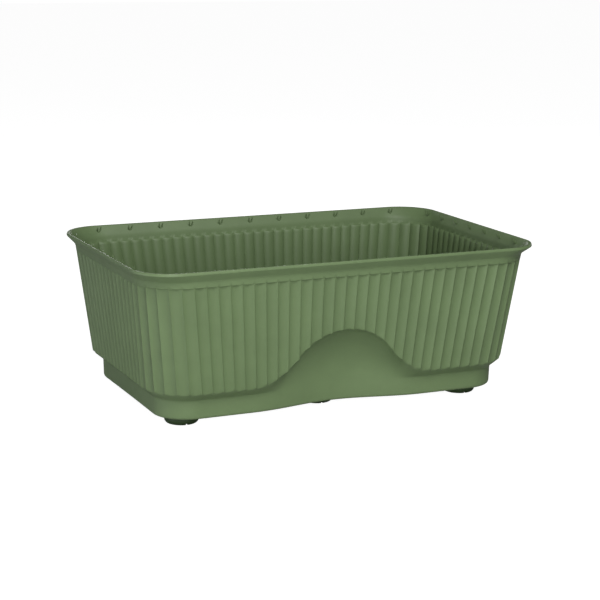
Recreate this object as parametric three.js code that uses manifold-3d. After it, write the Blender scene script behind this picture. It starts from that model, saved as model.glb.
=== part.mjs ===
// Self watering planter: a long fluted trough on six quarter-turn feet, with a reservoir plate,
// wicking cups, a filler tube with a hinged cap, a water level float and an overflow pipe.
// Millimetres, +Z up, the front faces -Y. The origin is on the ground under the middle.

import * as THREE from 'three';
import { mergeVertices } from 'three/addons/utils/BufferGeometryUtils.js';
import Module from 'manifold-3d';

const wasm = await Module();
wasm.setup();

// Trough: plan sizes at the rim, heights above the underside of the plinth
const RIM_LENGTH = 600;
const RIM_WIDTH = 384;
const TROUGH_HEIGHT = 210;
const WALL = 3;
const FLOOR_THICKNESS = 3;
const FOOT_HEIGHT = 15;

const RIM_CORNER = 55;
const WALL_CORNER = 62;
const PLINTH_CORNER = 46;

const LIP_HEIGHT = 3.8;
const LIP_LEAN = 0.8;
const LIP_ROUND = 0.5;
const CREASE_DROP = 14.4;
const CREASE_INSET = 8.5;
const BAND_DROP = 22.8;
const WALL_FOOT_HEIGHT = 39.6;
const WALL_FOOT_INSET = 26.6;
const PLINTH_HEIGHT = 26.7;
const PLINTH_TOP_INSET = 41.9;
const PLINTH_BOTTOM_INSET = 42.5;
const INNER_PLINTH_LIFT = 1.4;
const INNER_FOOT_LIFT = 1.6;

const FLUTE_PITCH = 16.9;
const FLUTE_DEPTH = 2;
const FLUTE_RAMP = 2.4;
const FLUTE_BAND_GAP = 0.6;

const ARCH_HALF_WIDTH = 140.6;
const ARCH_RISE = 70.4;
const COVE_ANGLES = [65, 32];
const COVE_CEILING = 3.5;
const RECESS_DEPTH = 17.5;
const RECESS_HALF_WIDTH = 130;

// Tie hooks inside the rim
const HOOK_PITCH = 48.5;
const END_HOOK_PITCH = 43.2;
const HOOK_WIDTH = 6.5;
const HOOK_HEIGHT = 8;
const HOOK_PROUD = 1.8;
const HOOK_ROOT = 1.6;
const HOOK_BELOW_RIM = 7.5;

// Fits
const TURN_CLEARANCE = 0.3;
const DROP_IN_CLEARANCE = 0.9;
const PLUG_CLEARANCE = 0.3;

// Quarter-turn feet
const FOOT_FROM_END = 84.5;
const FOOT_FROM_SIDE = 91.5;
const MIDDLE_FOOT_SETBACK = 29.5;
const FOOT_RADIUS = 24;
const FOOT_FLAT_RADIUS = 19;
const FOOT_SHOULDER = 7;
const FOOT_GAP = 0.5;
const COIN_SLOT_WIDTH = 3.6;
const COIN_SLOT_DEPTH = 3.2;
const NECK_RADIUS = 12;
const LUG_LENGTH = 4.5;
const LUG_WIDTH = 8;
const LUG_HEIGHT = 3;
const SEAL_FROM_NECK = 2.6;
const SEAL_WIDTH = 3.6;
const SEAL_HEIGHT = 2.2;
const SEAL_GAP = 0.1;

// Reservoir plate
const PLATE_HEIGHT = 35;
const PLATE_THICKNESS = 3;
const PLATE_RIM_HEIGHT = 7;
const PLATE_RIM_WIDTH = 3;
const LEG_RADIUS = 9;
const LEG_WALL = 2;
const LEG_X = 80;
const LEG_FROM_SIDE = 84;
const END_LEG_FROM_END = 66;
const AIR_SLOT_LENGTH = 18;
const AIR_SLOT_WIDTH = 4;
const AIR_SLOT_PITCH = 24;
const AIR_SLOT_COLUMNS = 9;

// Wicking cups
const CUP_FROM_FILLER_X = 32;
const CUP_FILLER_GAP = 6.5;
const CUP_TOP_RADIUS = 34;
const CUP_TAPER = 6;
const CUP_WALL = 2;
const CUP_FLANGE = 4;
const CUP_FLOOR_GAP = 2;
const CUP_SLOTS = 6;
const CUP_SLOT_SILL = 1;
const CUP_SLOT_WIDTH = 5;
const CUP_SLOT_HEIGHT = 17;

// Filler tube and cap
const FILLER_FROM_END = 120;
const FILLER_FROM_SIDE = 70;
const FILLER_RADIUS = 18.5;
const FILLER_WALL = 2;
const FILLER_FLOOR_GAP = 9;
const FILLER_TOP_DROP = 25;
const MOUTH_FLARE = 4.5;
const MOUTH_HEIGHT = 9;
const COLLAR_WIDTH = 5;
const COLLAR_HEIGHT = 3;
const CAP_THICKNESS = 2.6;
const CAP_OVERHANG = 0.6;
const LID_STEP = 1.2;
const CAP_TAB = 7;
const CAP_ARM_ROOT = 4;
const HINGE_FROM_MOUTH = 4.5;
const HINGE_RISE = 1.4;
const HINGE_PIN_RADIUS = 1.5;
const KNUCKLE_RADIUS = 3.1;
const KNUCKLE_WIDTH = 9;
const HINGE_EAR_WIDTH = 4;

// Water level indicator
const GAUGE_FROM_END = 120;
const GAUGE_FROM_SIDE = 70;
const SLEEVE_RADIUS = 11;
const SLEEVE_WALL = 1.8;
const SLEEVE_TOP_DROP = 24;
const SLEEVE_GUIDE = 6;
const WINDOW_WIDTH = 9;
const WINDOW_HEIGHT = 34;
const WINDOW_LINTEL = 1;
const GAUGE_PLUG_HEIGHT = 5;
const GAUGE_LID_OVERHANG = 1;
const GAUGE_LID_EDGE = 2;
const GAUGE_LID_HEIGHT = 3.5;
const FLOAT_RADIUS = 17;
const FLOAT_HEIGHT = 12;
const FLOAT_EDGE = 2;
const FLOAT_FLOOR_GAP = 1;
const ROD_RADIUS = 2;
const ROD_SETBACK = 1;
const FLAG_RADIUS = 7.5;
const FLAG_HEIGHT = 14;
const FLAG_CROWN = 2;
const FLAG_EDGE = 1.5;
const FLAG_TOP_DROP = 48;

// Overflow pipe
const OVERFLOW_X = 0;
const OVERFLOW_Y = 0;
const OVERFLOW_RADIUS = 8;
const OVERFLOW_WALL = 2;
const OVERFLOW_BELOW_PLATE = 6;
const OVERFLOW_FLANGE = 15;
const OVERFLOW_SEAL_SETBACK = 1;
const OVERFLOW_FLANGE_HEIGHT = 2.5;
const OVERFLOW_SEAL_HEIGHT = 2;
const OVERFLOW_TAIL = 3;

// How far a cutting or joining solid runs past the surface it meets
const OVERRUN = 1;

// Sides of the turned pieces
const FOOT_SIDES = 20;
const CUP_SIDES = 24;
const TUBE_SIDES = 24;
const SMALL_SIDES = 16;

// Shared heights
const UNDERSIDE = FOOT_HEIGHT;
const FLOOR_TOP = UNDERSIDE + FLOOR_THICKNESS;
const RIM_TOP = UNDERSIDE + TROUGH_HEIGHT;
const CREASE_Z = RIM_TOP - CREASE_DROP;
const BAND_Z = RIM_TOP - BAND_DROP;
const WALL_FOOT_Z = UNDERSIDE + WALL_FOOT_HEIGHT;
const PLINTH_TOP_Z = UNDERSIDE + PLINTH_HEIGHT;
const PLATE_UNDER = UNDERSIDE + PLATE_HEIGHT;
const PLATE_TOP = PLATE_UNDER + PLATE_THICKNESS;

// Radii and places that follow from the sizes above
const LUG_REACH = NECK_RADIUS + LUG_LENGTH;
const SEAL_INNER_RADIUS = NECK_RADIUS + SEAL_FROM_NECK;
const SEAL_OUTER_RADIUS = SEAL_INNER_RADIUS + SEAL_WIDTH;
const CUP_BOTTOM_RADIUS = CUP_TOP_RADIUS - CUP_TAPER;
const MOUTH_RADIUS = FILLER_RADIUS + MOUTH_FLARE;
const HINGE_OFFSET = MOUTH_RADIUS + HINGE_FROM_MOUTH;
const FOOT_X = RIM_LENGTH / 2 - FOOT_FROM_END;
const FOOT_Y = RIM_WIDTH / 2 - FOOT_FROM_SIDE;
const MIDDLE_FOOT_Y = FOOT_Y - MIDDLE_FOOT_SETBACK;
const LEG_Y = RIM_WIDTH / 2 - LEG_FROM_SIDE;
const END_LEG_X = RIM_LENGTH / 2 - END_LEG_FROM_END;
const FILLER_X = RIM_LENGTH / 2 - FILLER_FROM_END;
const FILLER_Y = FILLER_FROM_SIDE - RIM_WIDTH / 2;
const GAUGE_X = GAUGE_FROM_END - RIM_LENGTH / 2;
const GAUGE_Y = GAUGE_FROM_SIDE - RIM_WIDTH / 2;
// The cups stand inboard of the filler, clear of its collar.
const CUP_REACH = CUP_TOP_RADIUS + CUP_FLANGE;
const CUP_FILLER_SPAN = CUP_REACH + FILLER_RADIUS + COLLAR_WIDTH + CUP_FILLER_GAP;
const CUP_X = FILLER_X - CUP_FROM_FILLER_X;
const CUP_Y = -FILLER_Y - Math.sqrt(CUP_FILLER_SPAN ** 2 - CUP_FROM_FILLER_X ** 2);

const rad = THREE.MathUtils.degToRad;

// ---------------------------------------------------------------- solids

function plain(geometry) {
  const bare = geometry.index ? geometry.clone() : mergeVertices(geometry.clone());
  bare.deleteAttribute('normal');
  bare.deleteAttribute('uv');
  return mergeVertices(bare, 1e-4);
}

function solid(geometry) {
  const bare = plain(geometry);
  const vertProperties = new Float32Array(bare.attributes.position.array);
  const triVerts = new Uint32Array(bare.index.array);
  return new wasm.Manifold(new wasm.Mesh({ numProp: 3, vertProperties, triVerts }));
}

function geometryOf(manifold) {
  const mesh = manifold.getMesh();
  const geometry = new THREE.BufferGeometry();
  geometry.setAttribute('position', new THREE.BufferAttribute(mesh.vertProperties, 3));
  geometry.setIndex(new THREE.BufferAttribute(mesh.triVerts, 1));
  return geometry;
}

// A turned solid about +Z. The outline runs from the axis back to the axis, or closes on itself.
function turned(outline, segments) {
  const points = outline.map(([radius, z]) => new THREE.Vector2(radius, z));
  return new THREE.LatheGeometry(points, segments).rotateX(Math.PI / 2);
}

function ring(inner, outer, low, high, segments) {
  return turned([[inner, low], [outer, low], [outer, high], [inner, high], [inner, low]], segments);
}

function disc(radius, low, high, segments) {
  return turned([[0, low], [radius, low], [radius, high], [0, high]], segments);
}

function block(width, depth, low, high) {
  return new THREE.BoxGeometry(width, depth, high - low).translate(0, 0, (low + high) / 2);
}

function barAlongX(radius, length, segments) {
  return new THREE.CylinderGeometry(radius, radius, length, segments).rotateZ(Math.PI / 2);
}

// ---------------------------------------------------------------- trough shell

const CREASE_STRAIGHT_X = RIM_LENGTH / 2 - CREASE_INSET - WALL_CORNER;
const CREASE_STRAIGHT_Y = RIM_WIDTH / 2 - CREASE_INSET - WALL_CORNER;
const CORNER_ARC = WALL_CORNER * Math.PI / 2;
const QUARTER = CREASE_STRAIGHT_X + CORNER_ARC + CREASE_STRAIGHT_Y;
// A flute is centred on each long side and a ridge on each end.
const FLUTES_PER_QUARTER = Math.round(QUARTER / FLUTE_PITCH - 0.5) + 0.5;
const FLUTE_COUNT = 4 * FLUTES_PER_QUARTER;
const WALL_TAPER = (WALL_FOOT_INSET - CREASE_INSET) / (CREASE_Z - WALL_FOOT_Z);
const ARCH_ARC = (ARCH_HALF_WIDTH ** 2 + ARCH_RISE ** 2) / (4 * ARCH_RISE);

function wallInset(z) {
  return CREASE_INSET + (CREASE_Z - z) * WALL_TAPER;
}

// A point of a rounded rectangle, s flutes round from the middle of the front.
function onOutline(s, inset, corner) {
  const quarter = Math.floor(s / FLUTES_PER_QUARTER) % 4;
  const local = s - Math.floor(s / FLUTES_PER_QUARTER) * FLUTES_PER_QUARTER;
  const fromMiddle = quarter % 2 === 0 ? local : FLUTES_PER_QUARTER - local;
  const along = fromMiddle / FLUTES_PER_QUARTER * QUARTER;
  const straightX = RIM_LENGTH / 2 - inset - corner;
  const straightY = RIM_WIDTH / 2 - inset - corner;
  let x;
  let y;
  let longSide = false;
  if (along <= CREASE_STRAIGHT_X) {
    x = straightX * along / CREASE_STRAIGHT_X;
    y = straightY + corner;
    longSide = true;
  } else if (along <= CREASE_STRAIGHT_X + CORNER_ARC) {
    const angle = (along - CREASE_STRAIGHT_X) / WALL_CORNER;
    x = straightX + corner * Math.sin(angle);
    y = straightY + corner * Math.cos(angle);
  } else {
    x = straightX + corner;
    y = straightY * (QUARTER - along) / CREASE_STRAIGHT_Y;
  }
  const signX = quarter < 2 ? 1 : -1;
  const signY = quarter === 0 || quarter === 3 ? -1 : 1;
  return { x: x * signX, y: y * signY, longSide, signY };
}

// Height of the arch above the wall's foot: two tangent arcs, hollow then round.
function archHeight(x) {
  const away = Math.abs(x);
  if (away >= ARCH_HALF_WIDTH) return 0;
  if (away >= ARCH_HALF_WIDTH / 2) {
    return ARCH_ARC - Math.sqrt(ARCH_ARC ** 2 - (ARCH_HALF_WIDTH - away) ** 2);
  }
  return ARCH_RISE - ARCH_ARC + Math.sqrt(ARCH_ARC ** 2 - away ** 2);
}

// How far the plinth's long faces are set back under the arch.
function recess(x) {
  if (Math.abs(x) >= RECESS_HALF_WIDTH) return 0;
  return RECESS_DEPTH / 2 * (1 + Math.cos(Math.PI * x / RECESS_HALF_WIDTH));
}

function fluteDepth(s) {
  return Number.isInteger(s) ? FLUTE_DEPTH : 0;
}

function smoothRow(z, inset, corner) {
  const at = (s) => {
    const p = onOutline(s, inset, corner);
    return new THREE.Vector3(p.x, p.y, z);
  };
  return { step: 1, at };
}

function plinthRow(z, inset) {
  const at = (s) => {
    const p = onOutline(s, inset, PLINTH_CORNER);
    const back = p.longSide ? recess(p.x) : 0;
    return new THREE.Vector3(p.x, p.y - p.signY * back, z);
  };
  return { step: 1, at };
}

function fluteTopRow(thickness) {
  const at = (s) => {
    const depth = fluteDepth(s);
    const z = BAND_Z - FLUTE_BAND_GAP - (depth > 0 ? FLUTE_RAMP : 0);
    const p = onOutline(s, wallInset(z) + thickness + depth, WALL_CORNER);
    return new THREE.Vector3(p.x, p.y, z);
  };
  return { step: 0.5, at };
}

// The wall's lower edge, which lifts over the arch on both long sides.
function wallFootRow(thickness, lift, ceiling) {
  const at = (s) => {
    let z = WALL_FOOT_Z + lift;
    let p;
    for (let turn = 0; turn < 8; turn += 1) {
      p = onOutline(s, wallInset(z) + thickness + fluteDepth(s), WALL_CORNER);
      const rise = p.longSide ? archHeight(Math.max(Math.abs(p.x) - thickness, 0)) : 0;
      z = WALL_FOOT_Z + lift + rise + (ceiling - lift) * archShare(rise);
    }
    return new THREE.Vector3(p.x, p.y, z);
  };
  return { step: 0.5, at };
}

function archShare(rise) {
  return THREE.MathUtils.smoothstep(rise, 0, ARCH_RISE / 3);
}

// Between wall foot and plinth: a straight bevel, swelling to a cove under the arch.
function coveRow(degrees, foot, plinth) {
  const at = (s) => {
    const high = foot.at(s);
    const low = plinth.at(s);
    const rise = high.z - foot.at(FLUTES_PER_QUARTER).z;
    const inward = Math.sin(rad(degrees));
    const upward = Math.cos(rad(degrees));
    const bevel = high.clone().lerp(low, degrees / 90);
    const cove = high.clone().lerp(low, inward);
    cove.z = low.z + (high.z - low.z) * upward;
    return bevel.lerp(cove, archShare(rise));
  };
  return { step: 1, at };
}

function troughRows() {
  const outerFoot = wallFootRow(0, 0, 0);
  const outerPlinth = plinthRow(PLINTH_TOP_Z, PLINTH_TOP_INSET);
  const innerFoot = wallFootRow(WALL, INNER_FOOT_LIFT, COVE_CEILING);
  const innerPlinth = plinthRow(PLINTH_TOP_Z + INNER_PLINTH_LIFT, PLINTH_TOP_INSET + WALL);
  const outerCove = COVE_ANGLES.map((degrees) => coveRow(degrees, outerFoot, outerPlinth));
  const innerCove = COVE_ANGLES.map((degrees) => coveRow(degrees, innerFoot, innerPlinth));
  return [
    plinthRow(UNDERSIDE, PLINTH_BOTTOM_INSET),
    outerPlinth,
    ...outerCove,
    outerFoot,
    fluteTopRow(0),
    smoothRow(BAND_Z, wallInset(BAND_Z), WALL_CORNER),
    smoothRow(CREASE_Z, CREASE_INSET, WALL_CORNER),
    smoothRow(RIM_TOP - LIP_HEIGHT, 0, RIM_CORNER),
    smoothRow(RIM_TOP, LIP_LEAN, RIM_CORNER),
    smoothRow(RIM_TOP - LIP_ROUND, LIP_LEAN + WALL, RIM_CORNER),
    smoothRow(CREASE_Z, CREASE_INSET + WALL, WALL_CORNER),
    smoothRow(BAND_Z, wallInset(BAND_Z) + WALL, WALL_CORNER),
    fluteTopRow(WALL),
    innerFoot,
    ...innerCove.reverse(),
    innerPlinth,
    plinthRow(FLOOR_TOP, PLINTH_BOTTOM_INSET + WALL),
  ];
}

// Ridge points lie at half flutes, hollow points at whole ones.
function samplesOf(row) {
  const samples = [];
  for (let s = 0.5; s < FLUTE_COUNT + 0.5; s += row.step) samples.push(s);
  return samples;
}

function stitch(lower, upper, triangles) {
  const a = lower.samples;
  const b = upper.samples;
  const end = FLUTE_COUNT + 0.5;
  let i = 0;
  let j = 0;
  while (i < a.length || j < b.length) {
    const nextA = i + 1 < a.length ? a[i + 1] : end;
    const nextB = j + 1 < b.length ? b[j + 1] : end;
    const va = lower.first + i % a.length;
    const vb = upper.first + j % b.length;
    const takeA = j >= b.length || (i < a.length && nextA <= nextB);
    if (takeA) {
      triangles.push(va, lower.first + (i + 1) % a.length, vb);
      i += 1;
    } else {
      triangles.push(va, upper.first + (j + 1) % b.length, vb);
      j += 1;
    }
  }
}

function troughShell() {
  const positions = [];
  const triangles = [];
  const rings = troughRows().map((row) => {
    const samples = samplesOf(row);
    const first = positions.length / 3;
    samples.forEach((s) => positions.push(...row.at(s).toArray()));
    return { samples, first };
  });
  for (let k = 0; k + 1 < rings.length; k += 1) stitch(rings[k], rings[k + 1], triangles);
  closeRing(rings[0], UNDERSIDE, false, positions, triangles);
  closeRing(rings[rings.length - 1], FLOOR_TOP, true, positions, triangles);
  const geometry = new THREE.BufferGeometry();
  geometry.setAttribute('position', new THREE.Float32BufferAttribute(positions, 3));
  geometry.setIndex(triangles);
  return geometry;
}

function closeRing(ringRow, z, facesUp, positions, triangles) {
  const centre = positions.length / 3;
  positions.push(0, 0, z);
  const count = ringRow.samples.length;
  for (let i = 0; i < count; i += 1) {
    const here = ringRow.first + i;
    const next = ringRow.first + (i + 1) % count;
    if (facesUp) triangles.push(centre, here, next);
    else triangles.push(centre, next, here);
  }
}

// ---------------------------------------------------------------- hooks and holes of the trough

function hookPlaces(rimSpan, pitch) {
  const reach = rimSpan / 2 - RIM_CORNER;
  const count = 2 * Math.floor(reach / pitch) + 1;
  return Array.from({ length: count }, (_, k) => (k - (count - 1) / 2) * pitch);
}

function hookShape() {
  const half = HOOK_WIDTH / 2;
  const shape = new THREE.Shape();
  shape.moveTo(-half, HOOK_HEIGHT / 2);
  shape.lineTo(-half, 0);
  shape.lineTo(-half / 3, -HOOK_HEIGHT / 2);
  shape.lineTo(half / 3, -HOOK_HEIGHT / 2);
  shape.lineTo(half, 0);
  shape.lineTo(half, HOOK_HEIGHT / 2);
  return shape;
}

// One hook on the flare's inner face of the side at the given turn about +Z.
function hook(along, sideDistance, turn) {
  const depth = HOOK_PROUD + HOOK_ROOT;
  const geometry = new THREE.ExtrudeGeometry(hookShape(), { depth, bevelEnabled: false });
  geometry.translate(0, 0, -HOOK_ROOT);
  const rise = CREASE_DROP - LIP_ROUND;
  const lean = Math.atan2(CREASE_INSET - LIP_LEAN, rise);
  const inset = LIP_LEAN + WALL + (HOOK_BELOW_RIM - LIP_ROUND) * Math.tan(lean);
  // shape x along the wall, shape y up the flare, depth towards the middle of the trough
  geometry.applyMatrix4(new THREE.Matrix4().makeBasis(
    new THREE.Vector3(-1, 0, 0),
    new THREE.Vector3(0, -Math.sin(lean), Math.cos(lean)),
    new THREE.Vector3(0, Math.cos(lean), Math.sin(lean)),
  ));
  geometry.translate(along, -sideDistance + inset, RIM_TOP - HOOK_BELOW_RIM);
  return geometry.rotateZ(turn);
}

function allHooks() {
  const long = hookPlaces(RIM_LENGTH, HOOK_PITCH);
  const short = hookPlaces(RIM_WIDTH, END_HOOK_PITCH);
  const hooks = [];
  long.forEach((x) => hooks.push(hook(x, RIM_WIDTH / 2, 0), hook(x, RIM_WIDTH / 2, Math.PI)));
  short.forEach((y) => {
    hooks.push(hook(y, RIM_LENGTH / 2, Math.PI / 2), hook(y, RIM_LENGTH / 2, -Math.PI / 2));
  });
  return hooks;
}

function footPlaces() {
  const places = [];
  [-1, 1].forEach((side) => {
    places.push([-FOOT_X, side * FOOT_Y]);
    places.push([0, side * MIDDLE_FOOT_Y]);
    places.push([FOOT_X, side * FOOT_Y]);
  });
  return places;
}

// A round hole with two key slots across the locked position of the lugs.
function footHole() {
  const low = UNDERSIDE - OVERRUN;
  const high = FLOOR_TOP + OVERRUN;
  const reach = 2 * (LUG_REACH + TURN_CLEARANCE);
  const round = solid(disc(NECK_RADIUS + TURN_CLEARANCE, low, high, FOOT_SIDES));
  return round.add(solid(block(LUG_WIDTH + 2 * TURN_CLEARANCE, reach, low, high)));
}

function troughSolid() {
  let body = solid(troughShell());
  allHooks().forEach((geometry) => {
    body = body.add(solid(geometry));
  });
  footPlaces().forEach(([x, y]) => {
    body = body.subtract(footHole().translate(x, y, 0));
  });
  const drainRadius = OVERFLOW_RADIUS + PLUG_CLEARANCE;
  const drain = disc(drainRadius, UNDERSIDE - OVERRUN, FLOOR_TOP + OVERRUN, SMALL_SIDES);
  return body.subtract(solid(drain).translate(OVERFLOW_X, OVERFLOW_Y, 0));
}

// ---------------------------------------------------------------- feet

const SEAL_HIGH = UNDERSIDE - SEAL_GAP;
const SEAL_LOW = SEAL_HIGH - SEAL_HEIGHT;

function footSolid() {
  const top = UNDERSIDE - FOOT_GAP;
  const lugLow = FLOOR_TOP + TURN_CLEARANCE;
  const round = [30, 60].map((degrees) => [
    FOOT_FLAT_RADIUS + (FOOT_RADIUS - FOOT_FLAT_RADIUS) * Math.sin(rad(degrees)),
    FOOT_SHOULDER * (1 - Math.cos(rad(degrees))),
  ]);
  const outline = [
    [0, 0],
    [FOOT_FLAT_RADIUS, 0],
    ...round,
    [FOOT_RADIUS, FOOT_SHOULDER],
    [FOOT_RADIUS, top],
    [SEAL_OUTER_RADIUS + PLUG_CLEARANCE, top],
    [SEAL_OUTER_RADIUS + PLUG_CLEARANCE, SEAL_LOW],
    [SEAL_INNER_RADIUS - PLUG_CLEARANCE, SEAL_LOW],
    [SEAL_INNER_RADIUS - PLUG_CLEARANCE, top],
    [NECK_RADIUS, top],
    [NECK_RADIUS, lugLow + LUG_HEIGHT],
    [0, lugLow + LUG_HEIGHT],
  ];
  const lugs = block(2 * LUG_REACH, LUG_WIDTH, lugLow, lugLow + LUG_HEIGHT);
  const slot = block(COIN_SLOT_WIDTH, 3 * FOOT_RADIUS, -OVERRUN, COIN_SLOT_DEPTH);
  return solid(turned(outline, FOOT_SIDES)).add(solid(lugs)).subtract(solid(slot));
}

// ---------------------------------------------------------------- reservoir plate

// The trough's inner outline at a height on its ledge, kept clear by the drop-in clearance.
function plateOutline() {
  const rows = troughRows();
  const levels = rows.slice(rows.length - 2 - COVE_ANGLES.length - 1);
  const points = [];
  for (let s = 0.5; s < FLUTE_COUNT; s += 1) {
    const column = levels.map((row) => row.at(s));
    const k = column.findIndex((p, i) => i > 0 && p.z <= PLATE_UNDER);
    const above = column[k - 1];
    const below = column[k];
    const share = (above.z - PLATE_UNDER) / (above.z - below.z);
    points.push(above.clone().lerp(below, share));
  }
  return insetLoop(points, DROP_IN_CLEARANCE);
}

// Moves each point of a loop, which runs anticlockwise from above, inward along its normal.
function insetLoop(points, distance) {
  const count = points.length;
  return points.map((p, i) => {
    const before = points[(i + count - 1) % count];
    const after = points[(i + 1) % count];
    const normal = new THREE.Vector2(-(after.y - before.y), after.x - before.x).normalize();
    return new THREE.Vector2(p.x + normal.x * distance, p.y + normal.y * distance);
  });
}

function roundHole(x, y, radius) {
  const path = new THREE.Path();
  path.absarc(x, y, radius, 0, 2 * Math.PI, true);
  return path;
}

function airSlot(x, y) {
  const low = PLATE_UNDER - OVERRUN;
  const high = PLATE_TOP + OVERRUN;
  return block(AIR_SLOT_LENGTH, AIR_SLOT_WIDTH, low, high).translate(x, y, 0);
}

function cupPlaces() {
  return [[-CUP_X, -CUP_Y], [CUP_X, -CUP_Y], [-CUP_X, CUP_Y], [CUP_X, CUP_Y]];
}

// Three rows of slots lengthwise between the cups; the outer rows stop short of the cups.
function airSlots() {
  const slots = [];
  const reach = (AIR_SLOT_COLUMNS - 1) / 2;
  for (let k = -reach; k <= reach; k += 1) {
    const x = k * AIR_SLOT_PITCH;
    slots.push(airSlot(x, 0));
    if (CUP_X - Math.abs(x) > CUP_TOP_RADIUS + AIR_SLOT_LENGTH) {
      slots.push(airSlot(x, -CUP_Y / 2), airSlot(x, CUP_Y / 2));
    }
  }
  return slots;
}

function legPlaces() {
  return [
    [-LEG_X, -LEG_Y], [LEG_X, -LEG_Y], [-LEG_X, LEG_Y], [LEG_X, LEG_Y],
    [-END_LEG_X, 0], [END_LEG_X, 0],
  ];
}

function extruded(shape, low, high) {
  const options = { depth: high - low, bevelEnabled: false, curveSegments: TUBE_SIDES / 2 };
  return new THREE.ExtrudeGeometry(shape, options).translate(0, 0, low);
}

function plateSolid() {
  const outline = plateOutline();
  const inner = insetLoop(outline.map((p) => new THREE.Vector3(p.x, p.y, 0)), PLATE_RIM_WIDTH);
  const sheet = new THREE.Shape(outline);
  cupPlaces().forEach(([x, y]) => {
    sheet.holes.push(roundHole(x, y, CUP_TOP_RADIUS + PLUG_CLEARANCE));
  });
  sheet.holes.push(roundHole(FILLER_X, FILLER_Y, FILLER_RADIUS + PLUG_CLEARANCE));
  sheet.holes.push(roundHole(GAUGE_X, GAUGE_Y, SLEEVE_RADIUS + PLUG_CLEARANCE));
  const rim = new THREE.Shape(outline);
  rim.holes.push(new THREE.Path([...inner].reverse()));
  let plate = solid(extruded(sheet, PLATE_UNDER, PLATE_TOP));
  plate = plate.add(solid(extruded(rim, PLATE_UNDER, PLATE_TOP + PLATE_RIM_HEIGHT)));
  airSlots().forEach((slot) => {
    plate = plate.subtract(solid(slot));
  });
  const legTop = PLATE_UNDER + OVERRUN;
  const leg = solid(ring(LEG_RADIUS - LEG_WALL, LEG_RADIUS, FLOOR_TOP, legTop, SMALL_SIDES));
  legPlaces().forEach(([x, y]) => {
    plate = plate.add(leg.translate(x, y, 0));
  });
  return plate;
}

// ---------------------------------------------------------------- wicking cups

function cupSolid() {
  const low = FLOOR_TOP + CUP_FLOOR_GAP;
  const top = PLATE_TOP + CUP_WALL;
  const outline = [
    [0, low],
    [CUP_BOTTOM_RADIUS, low],
    [CUP_TOP_RADIUS, PLATE_UNDER],
    [CUP_TOP_RADIUS, PLATE_TOP],
    [CUP_REACH, PLATE_TOP],
    [CUP_REACH, top],
    [CUP_TOP_RADIUS - CUP_WALL, top],
    [CUP_TOP_RADIUS - CUP_WALL, PLATE_UNDER],
    [CUP_BOTTOM_RADIUS - CUP_WALL, low + CUP_WALL],
    [0, low + CUP_WALL],
  ];
  let cup = solid(turned(outline, CUP_SIDES));
  const slotLow = low + CUP_WALL + CUP_SLOT_SILL;
  const slotReach = CUP_TAPER + CUP_WALL + OVERRUN;
  for (let k = 0; k < CUP_SLOTS; k += 1) {
    const slot = block(2 * slotReach, CUP_SLOT_WIDTH, slotLow, slotLow + CUP_SLOT_HEIGHT);
    slot.translate(CUP_BOTTOM_RADIUS, 0, 0).rotateZ(2 * Math.PI * (k + 0.5) / CUP_SLOTS);
    cup = cup.subtract(solid(slot));
  }
  return cup;
}

// ---------------------------------------------------------------- filler tube, cap and pin

const MOUTH_TOP = RIM_TOP - FILLER_TOP_DROP;
const HINGE_Z = MOUTH_TOP + HINGE_RISE;
const EAR_INNER = KNUCKLE_WIDTH / 2 + TURN_CLEARANCE;
const EAR_OUTER = EAR_INNER + HINGE_EAR_WIDTH;

function hingeBarrel(radius, low, high) {
  return barAlongX(radius, high - low, SMALL_SIDES).translate((low + high) / 2, HINGE_OFFSET, HINGE_Z);
}

function fillerSolid() {
  const low = FLOOR_TOP + FILLER_FLOOR_GAP;
  const bore = FILLER_RADIUS - FILLER_WALL;
  const outline = [
    [bore, low],
    [FILLER_RADIUS, low],
    [FILLER_RADIUS, PLATE_TOP],
    [FILLER_RADIUS + COLLAR_WIDTH, PLATE_TOP],
    [FILLER_RADIUS + COLLAR_WIDTH, PLATE_TOP + COLLAR_HEIGHT],
    [FILLER_RADIUS, PLATE_TOP + COLLAR_HEIGHT],
    [FILLER_RADIUS, MOUTH_TOP - MOUTH_HEIGHT],
    [MOUTH_RADIUS, MOUTH_TOP - MOUTH_HEIGHT / 3],
    [MOUTH_RADIUS, MOUTH_TOP],
    [MOUTH_RADIUS - FILLER_WALL, MOUTH_TOP],
    [MOUTH_RADIUS - FILLER_WALL, MOUTH_TOP - MOUTH_HEIGHT / 3],
    [bore, MOUTH_TOP - MOUTH_HEIGHT],
    [bore, low],
  ];
  let tube = solid(turned(outline, TUBE_SIDES));
  const earDepth = HINGE_OFFSET - MOUTH_RADIUS + FILLER_WALL / 2;
  [-1, 1].forEach((side) => {
    const web = block(HINGE_EAR_WIDTH, earDepth, MOUTH_TOP - MOUTH_HEIGHT, MOUTH_TOP);
    web.translate(side * (EAR_INNER + EAR_OUTER) / 2, HINGE_OFFSET - earDepth / 2, 0);
    const lowEnd = side > 0 ? EAR_INNER : -EAR_OUTER;
    tube = tube.add(solid(web)).add(solid(hingeBarrel(KNUCKLE_RADIUS, lowEnd, lowEnd + HINGE_EAR_WIDTH)));
  });
  const pinHole = hingeBarrel(HINGE_PIN_RADIUS + PLUG_CLEARANCE, -EAR_OUTER - OVERRUN, EAR_OUTER + OVERRUN);
  return tube.subtract(solid(pinHole));
}

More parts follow.
